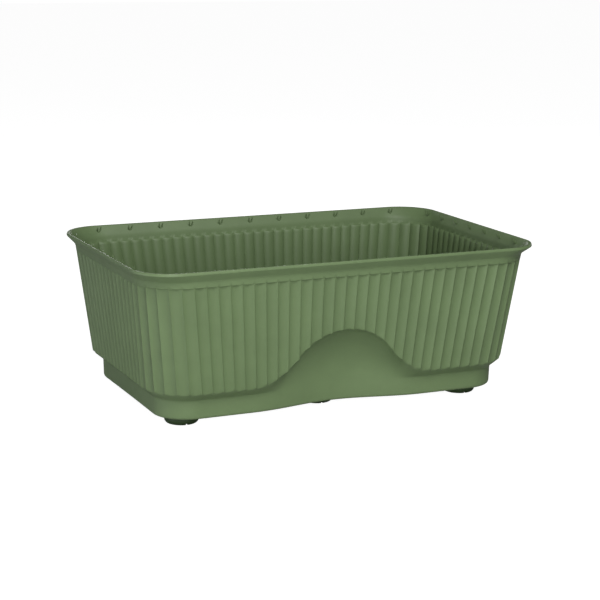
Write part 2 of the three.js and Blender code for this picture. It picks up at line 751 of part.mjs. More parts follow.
function capSolid() {
  const low = MOUTH_TOP + TURN_CLEARANCE;
  const high = low + CAP_THICKNESS;
  const reach = MOUTH_RADIUS + CAP_OVERHANG;
  const bore = MOUTH_RADIUS - FILLER_WALL - TURN_CLEARANCE;
  const lid = turned([
    [0, low - LID_STEP], [bore, low - LID_STEP], [bore, low],
    [reach, low], [reach, high], [0, high],
  ], TUBE_SIDES);
  const tab = block(CAP_TAB * 2, CAP_TAB, low, high).translate(0, -reach - CAP_TAB / 4, 0);
  const armStart = bore - CAP_ARM_ROOT;
  const arm = block(KNUCKLE_WIDTH, HINGE_OFFSET - armStart, low, high);
  arm.translate(0, (HINGE_OFFSET + armStart) / 2, 0);
  const knuckle = hingeBarrel(KNUCKLE_RADIUS, -KNUCKLE_WIDTH / 2, KNUCKLE_WIDTH / 2);
  const pinHole = hingeBarrel(HINGE_PIN_RADIUS + PLUG_CLEARANCE, -KNUCKLE_WIDTH, KNUCKLE_WIDTH);
  return solid(lid).add(solid(tab)).add(solid(arm)).add(solid(knuckle)).subtract(solid(pinHole));
}

function hingePin() {
  return hingeBarrel(HINGE_PIN_RADIUS, -EAR_OUTER, EAR_OUTER);
}

// ---------------------------------------------------------------- water level indicator

const SLEEVE_TOP = RIM_TOP - SLEEVE_TOP_DROP;
const FLAG_TOP = RIM_TOP - FLAG_TOP_DROP;
const ROD_LOW = FLOOR_TOP + FLOAT_FLOOR_GAP + ROD_SETBACK;

function sleeveSolid() {
  const bore = SLEEVE_RADIUS - SLEEVE_WALL;
  const guide = ROD_RADIUS + TURN_CLEARANCE;
  const outline = [
    [guide, PLATE_UNDER],
    [SLEEVE_RADIUS, PLATE_UNDER],
    [SLEEVE_RADIUS, PLATE_TOP],
    [SLEEVE_RADIUS + COLLAR_WIDTH, PLATE_TOP],
    [SLEEVE_RADIUS + COLLAR_WIDTH, PLATE_TOP + COLLAR_HEIGHT],
    [SLEEVE_RADIUS, PLATE_TOP + COLLAR_HEIGHT],
    [SLEEVE_RADIUS, SLEEVE_TOP],
    [bore, SLEEVE_TOP],
    [bore, PLATE_UNDER + SLEEVE_GUIDE],
    [guide, PLATE_UNDER + SLEEVE_GUIDE],
    [guide, PLATE_UNDER],
  ];
  const high = SLEEVE_TOP - GAUGE_PLUG_HEIGHT - WINDOW_LINTEL;
  const windows = block(WINDOW_WIDTH, 3 * SLEEVE_RADIUS, high - WINDOW_HEIGHT, high);
  return solid(turned(outline, TUBE_SIDES)).subtract(solid(windows));
}

// A lid on the sleeve with a plug that fits its bore.
function gaugeCap() {
  const plug = SLEEVE_RADIUS - SLEEVE_WALL - PLUG_CLEARANCE;
  const reach = SLEEVE_RADIUS + GAUGE_LID_OVERHANG;
  return turned([
    [0, SLEEVE_TOP - GAUGE_PLUG_HEIGHT],
    [plug, SLEEVE_TOP - GAUGE_PLUG_HEIGHT],
    [plug, SLEEVE_TOP],
    [reach, SLEEVE_TOP],
    [reach, SLEEVE_TOP + GAUGE_LID_EDGE],
    [reach - GAUGE_LID_EDGE, SLEEVE_TOP + GAUGE_LID_HEIGHT],
    [0, SLEEVE_TOP + GAUGE_LID_HEIGHT],
  ], TUBE_SIDES);
}

function floatRing() {
  const low = FLOOR_TOP + FLOAT_FLOOR_GAP;
  const high = low + FLOAT_HEIGHT;
  const hole = ROD_RADIUS + PLUG_CLEARANCE / 2;
  return turned([
    [hole, low], [FLOAT_RADIUS - FLOAT_EDGE, low], [FLOAT_RADIUS, low + FLOAT_EDGE],
    [FLOAT_RADIUS, high - FLOAT_EDGE], [FLOAT_RADIUS - FLOAT_EDGE, high],
    [hole, high], [hole, low],
  ], TUBE_SIDES);
}

function floatRod() {
  return disc(ROD_RADIUS, ROD_LOW, FLAG_TOP - FLAG_CROWN, SMALL_SIDES);
}

// The coloured marker, a cap over the top of the rod.
function levelFlag() {
  const hole = ROD_RADIUS + PLUG_CLEARANCE / 2;
  const low = FLAG_TOP - FLAG_HEIGHT;
  const socket = FLAG_TOP - FLAG_CROWN + PLUG_CLEARANCE / 2;
  return turned([
    [hole, low], [FLAG_RADIUS, low],
    [FLAG_RADIUS, FLAG_TOP - FLAG_EDGE], [FLAG_RADIUS - FLAG_EDGE, FLAG_TOP],
    [0, FLAG_TOP], [0, socket], [hole, socket], [hole, low],
  ], SMALL_SIDES);
}

// ---------------------------------------------------------------- overflow pipe

const OVERFLOW_SEAL_TOP = FLOOR_TOP + OVERFLOW_SEAL_HEIGHT;

function overflowPipe() {
  const bore = OVERFLOW_RADIUS - OVERFLOW_WALL;
  const top = PLATE_UNDER - OVERFLOW_BELOW_PLATE;
  return turned([
    [bore, UNDERSIDE - OVERFLOW_TAIL], [OVERFLOW_RADIUS, UNDERSIDE - OVERFLOW_TAIL],
    [OVERFLOW_RADIUS, OVERFLOW_SEAL_TOP], [OVERFLOW_FLANGE, OVERFLOW_SEAL_TOP],
    [OVERFLOW_FLANGE, OVERFLOW_SEAL_TOP + OVERFLOW_FLANGE_HEIGHT],
    [OVERFLOW_RADIUS, OVERFLOW_SEAL_TOP + OVERFLOW_FLANGE_HEIGHT],
    [OVERFLOW_RADIUS, top], [bore, top], [bore, UNDERSIDE - OVERFLOW_TAIL],
  ], SMALL_SIDES);
}

function overflowSeal() {
  const inner = OVERFLOW_RADIUS + PLUG_CLEARANCE;
  const outer = OVERFLOW_FLANGE - OVERFLOW_SEAL_SETBACK;
  return ring(inner, outer, FLOOR_TOP, OVERFLOW_SEAL_TOP, SMALL_SIDES);
}

// ---------------------------------------------------------------- materials and scene

function finish(color, roughness, metalness) {
  return () => new THREE.MeshStandardMaterial({ color, roughness, metalness });
}

const sageGreen = finish(0x73875f, 0.62, 0);
const deepGreen = finish(0x232b22, 0.5, 0);
const innerGrey = finish(0x4a504a, 0.68, 0);
const cupBlack = finish(0x2c302d, 0.66, 0);
const sealRubber = finish(0x161817, 0.85, 0);
const pinSteel = finish(0xb9bcbc, 0.3, 1);
const gaugeClear = finish(0xd6dcd4, 0.25, 0);
const floatWhite = finish(0xe9e6dc, 0.8, 0);
const markerRed = finish(0xc23a2b, 0.4, 0);

const planter = new THREE.Group();

function place(name, geometry, material, x = 0, y = 0) {
  const mesh = new THREE.Mesh(plain(geometry), material());
  mesh.name = name;
  mesh.position.set(x, y, 0);
  planter.add(mesh);
}

place('planter_box', geometryOf(troughSolid()), sageGreen);
place('reservoir_plate', geometryOf(plateSolid()), innerGrey);

const cup = geometryOf(cupSolid());
cupPlaces().forEach(([x, y], k) => place(`wicking_cup_${k + 1}`, cup, cupBlack, x, y));

place('filler_tube', geometryOf(fillerSolid()), innerGrey, FILLER_X, FILLER_Y);
place('filler_cap', geometryOf(capSolid()), deepGreen, FILLER_X, FILLER_Y);
place('filler_hinge_pin', hingePin(), pinSteel, FILLER_X, FILLER_Y);

place('gauge_sleeve', geometryOf(sleeveSolid()), gaugeClear, GAUGE_X, GAUGE_Y);
place('gauge_cap', gaugeCap(), deepGreen, GAUGE_X, GAUGE_Y);
place('gauge_float', floatRing(), floatWhite, GAUGE_X, GAUGE_Y);
place('gauge_rod', floatRod(), floatWhite, GAUGE_X, GAUGE_Y);
place('gauge_flag', levelFlag(), markerRed, GAUGE_X, GAUGE_Y);

place('overflow_pipe', overflowPipe(), deepGreen, OVERFLOW_X, OVERFLOW_Y);
place('overflow_seal', overflowSeal(), sealRubber, OVERFLOW_X, OVERFLOW_Y);

const foot = geometryOf(footSolid());
const seal = ring(SEAL_INNER_RADIUS, SEAL_OUTER_RADIUS, SEAL_LOW, SEAL_HIGH, FOOT_SIDES);
footPlaces().forEach(([x, y], k) => {
  place(`foot_${k + 1}`, foot, deepGreen, x, y);
  place(`foot_seal_${k + 1}`, seal, sealRubber, x, y);
});

export default planter;
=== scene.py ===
import math

import bmesh
import bpy
from mathutils import Matrix, Vector


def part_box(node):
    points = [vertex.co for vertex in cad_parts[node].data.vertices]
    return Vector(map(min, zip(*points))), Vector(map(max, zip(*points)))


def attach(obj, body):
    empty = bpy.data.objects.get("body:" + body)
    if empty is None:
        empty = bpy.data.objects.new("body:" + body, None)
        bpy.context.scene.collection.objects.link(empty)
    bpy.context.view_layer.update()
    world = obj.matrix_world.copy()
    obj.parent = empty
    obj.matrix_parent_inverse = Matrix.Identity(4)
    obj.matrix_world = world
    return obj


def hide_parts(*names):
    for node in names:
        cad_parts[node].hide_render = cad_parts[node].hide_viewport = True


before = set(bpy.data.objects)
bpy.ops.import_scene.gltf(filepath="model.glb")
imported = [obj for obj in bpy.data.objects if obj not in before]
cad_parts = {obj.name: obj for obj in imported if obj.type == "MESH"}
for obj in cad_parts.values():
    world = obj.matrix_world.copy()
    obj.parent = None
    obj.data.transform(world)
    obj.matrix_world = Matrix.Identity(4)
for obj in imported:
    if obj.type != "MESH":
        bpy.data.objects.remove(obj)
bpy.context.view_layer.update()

bl_info = {
    "name": "Self Watering Planter",
    "version": (1, 0, 0),
    "blender": (4, 5, 0),
    "location": "View3D > Sidebar > Planter",
    "description": "A fluted trough planter with a water reservoir and quarter-turn plug feet",
    "category": "Object",
}

MM = 0.001
TROUGH_LOW, TROUGH_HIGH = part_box("planter_box")
HALF_LENGTH = TROUGH_HIGH.x
HALF_WIDTH = TROUGH_HIGH.y
RIM_TOP = TROUGH_HIGH.z
UNDERSIDE = TROUGH_LOW.z
BODY = "trough"
FEET = 6
CUPS = 4
NO_LENGTH = 1e-7


# ---------------------------------------------------------------- settings

def length(name, millimetres, description):
    """A length property whose default is given in millimetres."""
    return bpy.props.FloatProperty(
        name=name, description=description, default=millimetres * MM,
        min=0.0, unit="LENGTH", precision=4)


def count(name, number, description):
    """A whole number property."""
    return bpy.props.IntProperty(name=name, description=description, default=number, min=1)


def paint(name, rgb, description):
    """A colour property, in linear light."""
    return bpy.props.FloatVectorProperty(
        name=name, description=description, default=rgb,
        subtype="COLOR", size=3, min=0.0, max=1.0)


class TroughSizes(bpy.types.PropertyGroup):
    """Sizes of the moulded trough."""
    wall: length("Wall", 3, "Thickness of the moulded wall")
    floor: length("Floor", 3, "Thickness of the floor")
    rim_corner: length("Rim corner", 55, "Corner radius of the rim in plan")
    wall_corner: length("Wall corner", 62, "Corner radius of the fluted wall in plan")
    plinth_corner: length("Plinth corner", 46, "Corner radius of the plinth in plan")
    lip_height: length("Lip height", 3.8, "Height of the rim's outer edge")
    lip_lean: length("Lip lean", 0.8, "How far the rim's edge leans in at its top")
    lip_round: length("Lip round", 0.5, "Fall of the rim's top towards the inside")
    crease_drop: length("Crease drop", 14.4, "Height of the flare, from rim to crease")
    crease_inset: length("Crease inset", 8.5, "How far the crease lies inside the rim")
    band_drop: length("Band drop", 22.8, "From the rim down to the tops of the flutes")
    foot_height: length("Wall foot height", 39.6, "Height of the wall's lower edge")
    foot_inset: length("Wall foot inset", 26.6, "How far the wall's foot lies inside the rim")
    plinth_height: length("Plinth height", 26.7, "Height of the upright plinth")
    plinth_top_inset: length("Plinth top inset", 41.9, "Inset of the plinth's top")
    plinth_bottom_inset: length("Plinth bottom inset", 42.5, "Inset of the plinth's foot")
    arch_half_width: length("Arch half width", 140.6, "Half the width of the arch")
    arch_rise: length("Arch rise", 70.4, "Height of the arch over the wall's foot")
    recess_depth: length("Recess depth", 17.5, "Set-back of the plinth under the arch")
    recess_half_width: length("Recess half width", 130, "Half the width of that set-back")


class FluteSizes(bpy.types.PropertyGroup):
    """Sizes of the flutes round the wall."""
    pitch: length("Pitch", 16.9, "Width of one flute at the crease")
    depth: length("Depth", 3.0, "Depth of a flute's hollow")
    end: length("End", 3.0, "Height over which a flute runs out at its top")
    steps: count("Steps", 8, "Faces across one flute")
    roundness: bpy.props.FloatProperty(
        name="Roundness", description="2 is a circular hollow, more is flatter bottomed",
        default=2.4, min=1.0, max=6.0)


class HookSizes(bpy.types.PropertyGroup):
    """Sizes of the tie hooks inside the rim."""
    number: count("Number", 11, "Hooks along a long side")
    end_number: count("End number", 7, "Hooks along an end")
    pitch: length("Pitch", 48.4, "Spacing along the long sides")
    end_pitch: length("End pitch", 43.2, "Spacing along the ends")
    offset: length("Offset", 2.7, "From the middle of a long side to its row's middle")
    end_offset: length("End offset", 9.0, "From the middle of an end to its row's middle")
    width: length("Width", 6.8, "Width of a hook")
    height: length("Height", 8.0, "Height of a hook")
    rib: length("Rib", 0.85, "Radius of a hook's rib")
    below_rim: length("Below rim", 8.8, "From the rim down to a hook's foot")
    lean: bpy.props.FloatProperty(
        name="Lean", description="How far a hook leans into the trough from upright",
        default=math.radians(24), min=0.0, max=math.pi / 4, unit="ROTATION")


class InnerSizes(bpy.types.PropertyGroup):
    """Sizes of the pieces of the reservoir."""
    plate_rim_width: length("Plate rim width", 3, "Thickness of the plate's upstand")
    plate_rim_height: length("Plate rim height", 7, "Height of the plate's upstand")
    plate_thickness: length("Plate thickness", 3, "Thickness of the reservoir plate")
    plate_gap: length("Plate gap", 0.9, "Clearance round the reservoir plate")
    slot_length: length("Air slot length", 18, "Length of an air slot")
    slot_width: length("Air slot width", 4, "Width of an air slot")
    slot_pitch: length("Air slot pitch", 24, "Spacing of the air slots")
    slot_columns: count("Air slot columns", 9, "Air slots along the middle row")
    cup_wall: length("Cup wall", 2, "Thickness of a wicking cup")
    cup_flange: length("Cup flange", 4, "Width of a cup's flange")
    cup_taper: length("Cup taper", 6, "How much narrower a cup's floor is than its top")
    tube_wall: length("Tube wall", 2, "Thickness of the filler tube")


class Finishes(bpy.types.PropertyGroup):
    """Colours of the materials."""
    sage: paint("Sage", (0.171, 0.251, 0.113), "The trough's plastic")
    deep: paint("Deep green", (0.038, 0.071, 0.024), "Feet and caps")
    grey: paint("Grey", (0.070, 0.082, 0.068), "Reservoir plate and filler tube")
    black: paint("Black", (0.022, 0.026, 0.023), "Wicking cups")
    pale: paint("Pale", (0.620, 0.660, 0.600), "Gauge sleeve")
    foam: paint("Foam", (0.780, 0.760, 0.690), "Float and rod")
    marker: paint("Marker", (0.520, 0.040, 0.022), "Level flag")
    rubber: paint("Rubber", (0.010, 0.011, 0.011), "Sealing rings")
    steel: paint("Steel", (0.520, 0.530, 0.530), "Hinge pin")


class PlanterSettings(bpy.types.PropertyGroup):
    """Everything that a user can set."""
    trough: bpy.props.PointerProperty(type=TroughSizes, name="Trough", description="Trough sizes")
    flute: bpy.props.PointerProperty(type=FluteSizes, name="Flutes", description="Flute sizes")
    hook: bpy.props.PointerProperty(type=HookSizes, name="Hooks", description="Hook sizes")
    inner: bpy.props.PointerProperty(type=InnerSizes, name="Inside", description="Inner sizes")
    finish: bpy.props.PointerProperty(type=Finishes, name="Finishes", description="Colours")


# ---------------------------------------------------------------- meshes and objects

def object_of(name, mesh):
    """A new object that holds the mesh, in the scene."""
    obj = bpy.data.objects.new(name, mesh)
    bpy.context.scene.collection.objects.link(obj)
    return obj


def mesh_of(name, bm):
    """The bmesh as a mesh, with the bmesh freed."""
    mesh = bpy.data.meshes.new(name)
    bm.to_mesh(mesh)
    bm.free()
    return mesh


def evaluated_copy(obj):
    """The object's mesh with its modifiers applied."""
    depsgraph = bpy.context.evaluated_depsgraph_get()
    depsgraph.update()
    return bpy.data.meshes.new_from_object(obj.evaluated_get(depsgraph), depsgraph=depsgraph)


def settle(obj):
    """Puts the modifiers' result into the object's own mesh and removes them."""
    mesh = evaluated_copy(obj)
    old = obj.data
    obj.modifiers.clear()
    obj.data = mesh
    mesh.name = obj.name
    if old.users == 0:
        bpy.data.meshes.remove(old)


def shade(mesh, degrees):
    """Smooth shading with creases above an angle."""
    mesh.shade_smooth()
    mesh.set_sharp_from_angle(angle=math.radians(degrees))


def finish_piece(obj, material, body, slot, *nodes, crease=35):
    """Gives a piece its material and shading, and hands it to the frame."""
    obj.data.materials.clear()
    obj.data.materials.append(material)
    shade(obj.data, crease)
    if nodes:
        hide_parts(*nodes)
    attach(obj, body)


def middle(node):
    """The point under the middle of a CAD node, on the ground."""
    low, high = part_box(node)
    return Vector(((low.x + high.x) / 2, (low.y + high.y) / 2, 0.0))


def round_corner(before, corner, after, reach, steps):
    """Points along a soft corner between two straight runs."""
    start = corner + (before - corner).normalized() * min(reach, (before - corner).length * 0.45)
    end = corner + (after - corner).normalized() * min(reach, (after - corner).length * 0.45)
    points = []
    for k in range(steps + 1):
        t = k / steps
        points.append(start * (1 - t) ** 2 + corner * (2 * t * (1 - t)) + end * t ** 2)
    return points


def softened(outline, reach, steps=3):
    """A turned outline, as (radius, height) pairs, with every corner off the axis rounded."""
    points = [Vector(p) for p in outline]
    closed = (points[0] - points[-1]).length < NO_LENGTH
    if closed:
        points.pop()
    size = len(points)
    result = []
    for i, point in enumerate(points):
        at_end = not closed and i in (0, size - 1)
        if at_end:
            result.append(point)
            continue
        before = points[i - 1]
        after = points[(i + 1) % size]
        result.extend(round_corner(before, point, after, reach, steps))
    if closed:
        result.append(result[0])
    return result


def add_turned(bm, outline, segments, centre=Vector((0, 0, 0))):
    """Adds a solid turned about an upright axis. The outline runs from axis to axis or closes."""
    closed = (Vector(outline[0]) - Vector(outline[-1])).length < NO_LENGTH
    rows = outline[:-1] if closed else outline
    rings = []
    for radius, z in rows:
        if radius < NO_LENGTH:
            rings.append([bm.verts.new(centre + Vector((0, 0, z)))])
            continue
        ring = []
        for k in range(segments):
            angle = 2 * math.pi * k / segments
            place = Vector((radius * math.cos(angle), radius * math.sin(angle), z))
            ring.append(bm.verts.new(centre + place))
        rings.append(ring)
    pairs = list(zip(rings, rings[1:] + rings[:1] if closed else rings[1:]))
    for lower, upper in pairs:
        for k in range(segments):
            m = (k + 1) % segments
            corners = [lower[k % len(lower)], lower[m % len(lower)],
                       upper[m % len(upper)], upper[k % len(upper)]]
            unique = list(dict.fromkeys(corners))
            if len(unique) > 2:
                bm.faces.new(unique)


def add_block(bm, low, high, reach=0.0, steps=2):
    """Adds a box between two corners, with its edges rounded by reach."""
    matrix = Matrix.Translation((Vector(low) + Vector(high)) / 2)
    size = Vector(high) - Vector(low)
    made = bmesh.ops.create_cube(bm, size=1.0)
    for vert in made["verts"]:
        vert.co = matrix @ Vector((vert.co.x * size.x, vert.co.y * size.y, vert.co.z * size.z))
    if reach > 0:
        edges = list({edge for vert in made["verts"] for edge in vert.link_edges})
        bmesh.ops.bevel(bm, geom=edges, offset=reach, segments=steps, profile=0.5,
                        affect="EDGES", clamp_overlap=True)


def add_barrel(bm, centre, radius, width, reach, segments=32):
    """Adds a round bar along X with softened rims."""
    half = width / 2
    outline = softened([(0, -half), (radius, -half), (radius, half), (0, half)], reach)
    part = bmesh.new()
    add_turned(part, outline, segments)
    turn = Matrix.Translation(centre) @ Matrix.Rotation(math.pi / 2, 4, "Y")
    bmesh.ops.transform(part, matrix=turn, verts=part.verts)
    merge_into(bm, part)


def merge_into(bm, part):
    """Copies the part's faces into bm and frees the part."""
    mesh = mesh_of("part", part)
    bm.from_mesh(mesh)
    bpy.data.meshes.remove(mesh)


def turned_piece(name, outline, segments, centre, reach):
    """An object turned from an outline of (radius, height) pairs."""
    bm = bmesh.new()
    add_turned(bm, softened(outline, reach), segments, centre)
    return object_of(name, mesh_of(name, bm))


def cut(obj, cutters):
    """Cuts the cutters' bmesh out of the object."""
    cutter = object_of("cutters", mesh_of("cutters", cutters))
    modifier = obj.modifiers.new("cut", "BOOLEAN")
    modifier.operation = "DIFFERENCE"
    modifier.solver = "EXACT"
    modifier.object = cutter
    settle(obj)
    mesh = cutter.data
    bpy.data.objects.remove(cutter)
    bpy.data.meshes.remove(mesh)


# ---------------------------------------------------------------- node trees

class Tree:
    """A thin layer over a node tree: adds nodes and joins them by socket name or number."""

    def __init__(self, tree):
        self.tree = tree

    def node(self, kind, **settings):
        """Adds a node and sets its properties."""
        made = self.tree.nodes.new(kind)
        for key, value in settings.items():
            setattr(made, key, value)
        return made

    def link(self, source, target):
        """Joins an output to an input."""
        self.tree.links.new(source, target)

    def math(self, operation, first, second=None):
        """The result of a sum on numbers or outputs."""
        made = self.node("ShaderNodeMath", operation=operation)
        for socket, value in zip(made.inputs, (first, second)):
            if value is None:
                continue
            if isinstance(value, (int, float)):
                socket.default_value = value
            else:
                self.link(value, socket)
        return made.outputs[0]


def geometry_tree(name, inputs):
    """A Geometry Nodes tree with a geometry input and output and the named inputs."""
    tree = bpy.data.node_groups.new(name, "GeometryNodeTree")
    tree.interface.new_socket("Geometry", in_out="INPUT", socket_type="NodeSocketGeometry")
    for label, kind in inputs:
        tree.interface.new_socket(label, in_out="INPUT", socket_type=kind)
    tree.interface.new_socket("Geometry", in_out="OUTPUT", socket_type="NodeSocketGeometry")
    return tree


def close_tree(t, geometry, material):
    """Ends a tree: realizes instances, sets the material and joins the group's output."""
    realize = t.node("GeometryNodeRealizeInstances")
    paint_node = t.node("GeometryNodeSetMaterial")
    output = t.node("NodeGroupOutput")
    t.link(geometry, realize.inputs["Geometry"])
    t.link(realize.outputs["Geometry"], paint_node.inputs["Geometry"])
    t.link(material, paint_node.inputs["Material"])
    t.link(paint_node.outputs["Geometry"], output.inputs["Geometry"])


def named(t, attribute, kind):
    """A named attribute's value."""
    node = t.node("GeometryNodeInputNamedAttribute", data_type=kind)
    node.inputs["Name"].default_value = attribute
    return node.outputs["Attribute"]


def apply_tree(obj, tree, values):
    """Runs the tree on the object with the given inputs and keeps the plain mesh."""
    modifier = obj.modifiers.new(tree.name, "NODES")
    modifier.node_group = tree
    for item in tree.interface.items_tree:
        if item.in_out == "INPUT" and item.name in values:
            modifier[item.identifier] = values[item.name]
    settle(obj)


def flute_tree():
    """Presses the flutes into a smooth wall along its inward direction."""
    tree = geometry_tree("Fluted wall", [
        ("Depth", "NodeSocketFloat"),
        ("Roundness", "NodeSocketFloat"),
        ("Material", "NodeSocketMaterial"),
    ])
    t = Tree(tree)
    entry = t.node("NodeGroupInput")
    across = named(t, "flute_across", "FLOAT")
    share = named(t, "flute_share", "FLOAT")
    inward = named(t, "flute_inward", "FLOAT_VECTOR")
    flank = t.math("POWER", t.math("ABSOLUTE", across), entry.outputs["Roundness"])
    hollow = t.math("SUBTRACT", 1.0, flank)
    depth = t.math("MULTIPLY", t.math("MULTIPLY", hollow, share), entry.outputs["Depth"])
    push = t.node("ShaderNodeVectorMath", operation="SCALE")
    t.link(inward, push.inputs[0])
    t.link(depth, push.inputs["Scale"])
    place = t.node("GeometryNodeSetPosition")
    t.link(entry.outputs["Geometry"], place.inputs["Geometry"])
    t.link(push.outputs[0], place.inputs["Offset"])
    close_tree(t, place.outputs["Geometry"], entry.outputs["Material"])
    return tree


def hook_tree():
    """Puts a raised U-shaped rib on every point, turned by the point's own angles."""
    tree = geometry_tree("Tie hooks", [
        ("Width", "NodeSocketFloat"),
        ("Height", "NodeSocketFloat"),
        ("Rib", "NodeSocketFloat"),
        ("Material", "NodeSocketMaterial"),
    ])
    t = Tree(tree)
    entry = t.node("NodeGroupInput")
    half_width = t.math("MULTIPLY", entry.outputs["Width"], 0.5)
    bow = t.node("GeometryNodeCurvePrimitiveBezierSegment", mode="POSITION")
    bow.inputs["Resolution"].default_value = 14
    left = t.math("MULTIPLY", half_width, -1.0)
    low = t.math("DIVIDE", entry.outputs["Height"], -3.0)
    corners = (
        ("Start", left, entry.outputs["Height"]),
        ("Start Handle", left, low),
        ("End Handle", half_width, low),
        ("End", half_width, entry.outputs["Height"]),
    )
    for label, x, y in corners:
        corner = t.node("ShaderNodeCombineXYZ")
        t.link(x, corner.inputs["X"])
        t.link(y, corner.inputs["Y"])
        t.link(corner.outputs[0], bow.inputs[label])
    section = t.node("GeometryNodeCurvePrimitiveCircle", mode="RADIUS")
    section.inputs["Resolution"].default_value = 8
    t.link(entry.outputs["Rib"], section.inputs["Radius"])
    rib = t.node("GeometryNodeCurveToMesh")
    rib.inputs["Fill Caps"].default_value = True
    t.link(bow.outputs["Curve"], rib.inputs["Curve"])
    t.link(section.outputs["Curve"], rib.inputs["Profile Curve"])
    spread = t.node("GeometryNodeInstanceOnPoints")
    t.link(entry.outputs["Geometry"], spread.inputs["Points"])
    t.link(rib.outputs["Mesh"], spread.inputs["Instance"])
    angles = t.node("FunctionNodeEulerToRotation")
    t.link(named(t, "hook_turn", "FLOAT_VECTOR"), angles.inputs["Euler"])
    t.link(angles.outputs["Rotation"], spread.inputs["Rotation"])
    close_tree(t, spread.outputs["Instances"], entry.outputs["Material"])
    return tree


# ---------------------------------------------------------------- materials

def shader(name):
    """A new material with its tree and its Principled shader."""
    material = bpy.data.materials.new(name)
    material.use_nodes = True
    t = Tree(material.node_tree)
    principled = material.node_tree.nodes["Principled BSDF"]
    return material, t, principled


def noise(t, scale, detail=4.0, rough=0.5):
    """Noise over the piece's own coordinates, in metres."""
    coordinates = t.node("ShaderNodeTexCoord")
    made = t.node("ShaderNodeTexNoise")
    made.inputs["Scale"].default_value = scale
    made.inputs["Detail"].default_value = detail
    made.inputs["Roughness"].default_value = rough
    t.link(coordinates.outputs["Object"], made.inputs["Vector"])
    return made.outputs["Fac"]


def spread_range(t, value, low, high):
    """The middle of a noise's range stretched to run from low to high."""
    made = t.node("ShaderNodeMapRange")
    made.inputs["From Min"].default_value = 0.3
    made.inputs["From Max"].default_value = 0.7
    made.inputs["To Min"].default_value = low
    made.inputs["To Max"].default_value = high
    t.link(value, made.inputs["Value"])
    return made.outputs["Result"]


def tint(t, colour, factor, low, high):
    """The colour scaled between two strengths by a factor from 0 to 1."""
    ramp = t.node("ShaderNodeValToRGB")
    for stop, strength, place in zip(ramp.color_ramp.elements, (low, high), (0.3, 0.7)):
        stop.position = place
        stop.color = (*[min(1.0, c * strength) for c in colour], 1.0)
    t.link(factor, ramp.inputs["Fac"])
    return ramp.outputs["Color"]


def bump(t, height, strength, distance, below=None):
    """Relief from a height value, over another relief if one is given."""
    made = t.node("ShaderNodeBump")
    made.inputs["Strength"].default_value = strength
    made.inputs["Distance"].default_value = distance
    t.link(height, made.inputs["Height"])
    if below is not None:
        t.link(below, made.inputs["Normal"])
    return made.outputs["Normal"]


def moulded(name, colour, roughness, mottle=0.06, grain=0.12, specular=0.5):
    """Moulded plastic: faint mottling, uneven sheen, a fine spark-eroded grain and slow waves."""
    material, t, principled = shader(name)
    cloud = noise(t, 16.0, 5.0, 0.6)
    t.link(tint(t, colour, cloud, 1 - mottle, 1 + mottle), principled.inputs["Base Color"])
    sheen = spread_range(t, noise(t, 45.0, 6.0, 0.65), roughness - 0.05, roughness + 0.06)
    t.link(sheen, principled.inputs["Roughness"])
    wave = bump(t, noise(t, 22.0, 2.0), 0.08, 1.0 * MM)
    fine = bump(t, noise(t, 1900.0, 2.0), grain, 0.12 * MM, wave)
    t.link(fine, principled.inputs["Normal"])
    principled.inputs["Specular IOR Level"].default_value = specular
    return material


def foamed(name, colour):
    """Closed-cell foam: small rounded cells and a dull surface."""
    material, t, principled = shader(name)
    coordinates = t.node("ShaderNodeTexCoord")
    cells = t.node("ShaderNodeTexVoronoi")
    cells.inputs["Scale"].default_value = 420.0
    t.link(coordinates.outputs["Object"], cells.inputs["Vector"])
    shadow = tint(t, colour, cells.outputs["Distance"], 0.86, 1.04)
    t.link(shadow, principled.inputs["Base Color"])
    t.link(bump(t, cells.outputs["Distance"], 0.3, 0.4 * MM), principled.inputs["Normal"])
    principled.inputs["Roughness"].default_value = 0.82
    return material


def rubbery(name, colour):
    """Seal rubber: matt black with a slight bloom."""
    material, t, principled = shader(name)
    t.link(tint(t, colour, noise(t, 120.0, 5.0), 0.8, 1.8), principled.inputs["Base Color"])
    t.link(spread_range(t, noise(t, 260.0), 0.72, 0.9), principled.inputs["Roughness"])
    t.link(bump(t, noise(t, 2400.0), 0.15, 0.1 * MM), principled.inputs["Normal"])
    return material


def drawn_steel(name, colour):
    """Drawn wire: metal with fine lines along X."""
    material, t, principled = shader(name)
    coordinates = t.node("ShaderNodeTexCoord")
    stretch = t.node("ShaderNodeMapping")
    stretch.inputs["Scale"].default_value = (30.0, 2200.0, 2200.0)
    lines = t.node("ShaderNodeTexNoise")
    lines.inputs["Scale"].default_value = 1.0
    t.link(coordinates.outputs["Object"], stretch.inputs["Vector"])
    t.link(stretch.outputs["Vector"], lines.inputs["Vector"])
    t.link(tint(t, colour, lines.outputs["Fac"], 0.85, 1.1), principled.inputs["Base Color"])
    t.link(spread_range(t, lines.outputs["Fac"], 0.22, 0.4), principled.inputs["Roughness"])
    principled.inputs["Metallic"].default_value = 1.0
    return material


def material_for(slot):
    """The finish of a slot, made once. The CAD's own materials already hold the slots' names."""
    name = slot.replace("_", " ").capitalize()
    if name in bpy.data.materials:
        return bpy.data.materials[name]
    colours = bpy.context.scene.planter.finish
    makers = {
        "sage_plastic": lambda: moulded(name, colours.sage, 0.5),
        "grey_plastic": lambda: moulded(name, colours.grey, 0.56),
        "black_plastic": lambda: moulded(name, colours.black, 0.55),
        "deep_green_plastic": lambda: moulded(name, colours.deep, 0.42),
        "pale_plastic": lambda: moulded(name, colours.pale, 0.3, mottle=0.02, grain=0.04),
        "marker_red": lambda: moulded(name, colours.marker, 0.24, mottle=0.03, grain=0.03),
        "float_white": lambda: foamed(name, colours.foam),
        "seal_rubber": lambda: rubbery(name, colours.rubber),
        "pin_steel": lambda: drawn_steel(name, colours.steel),
    }
    return makers[slot]()


# ---------------------------------------------------------------- trough

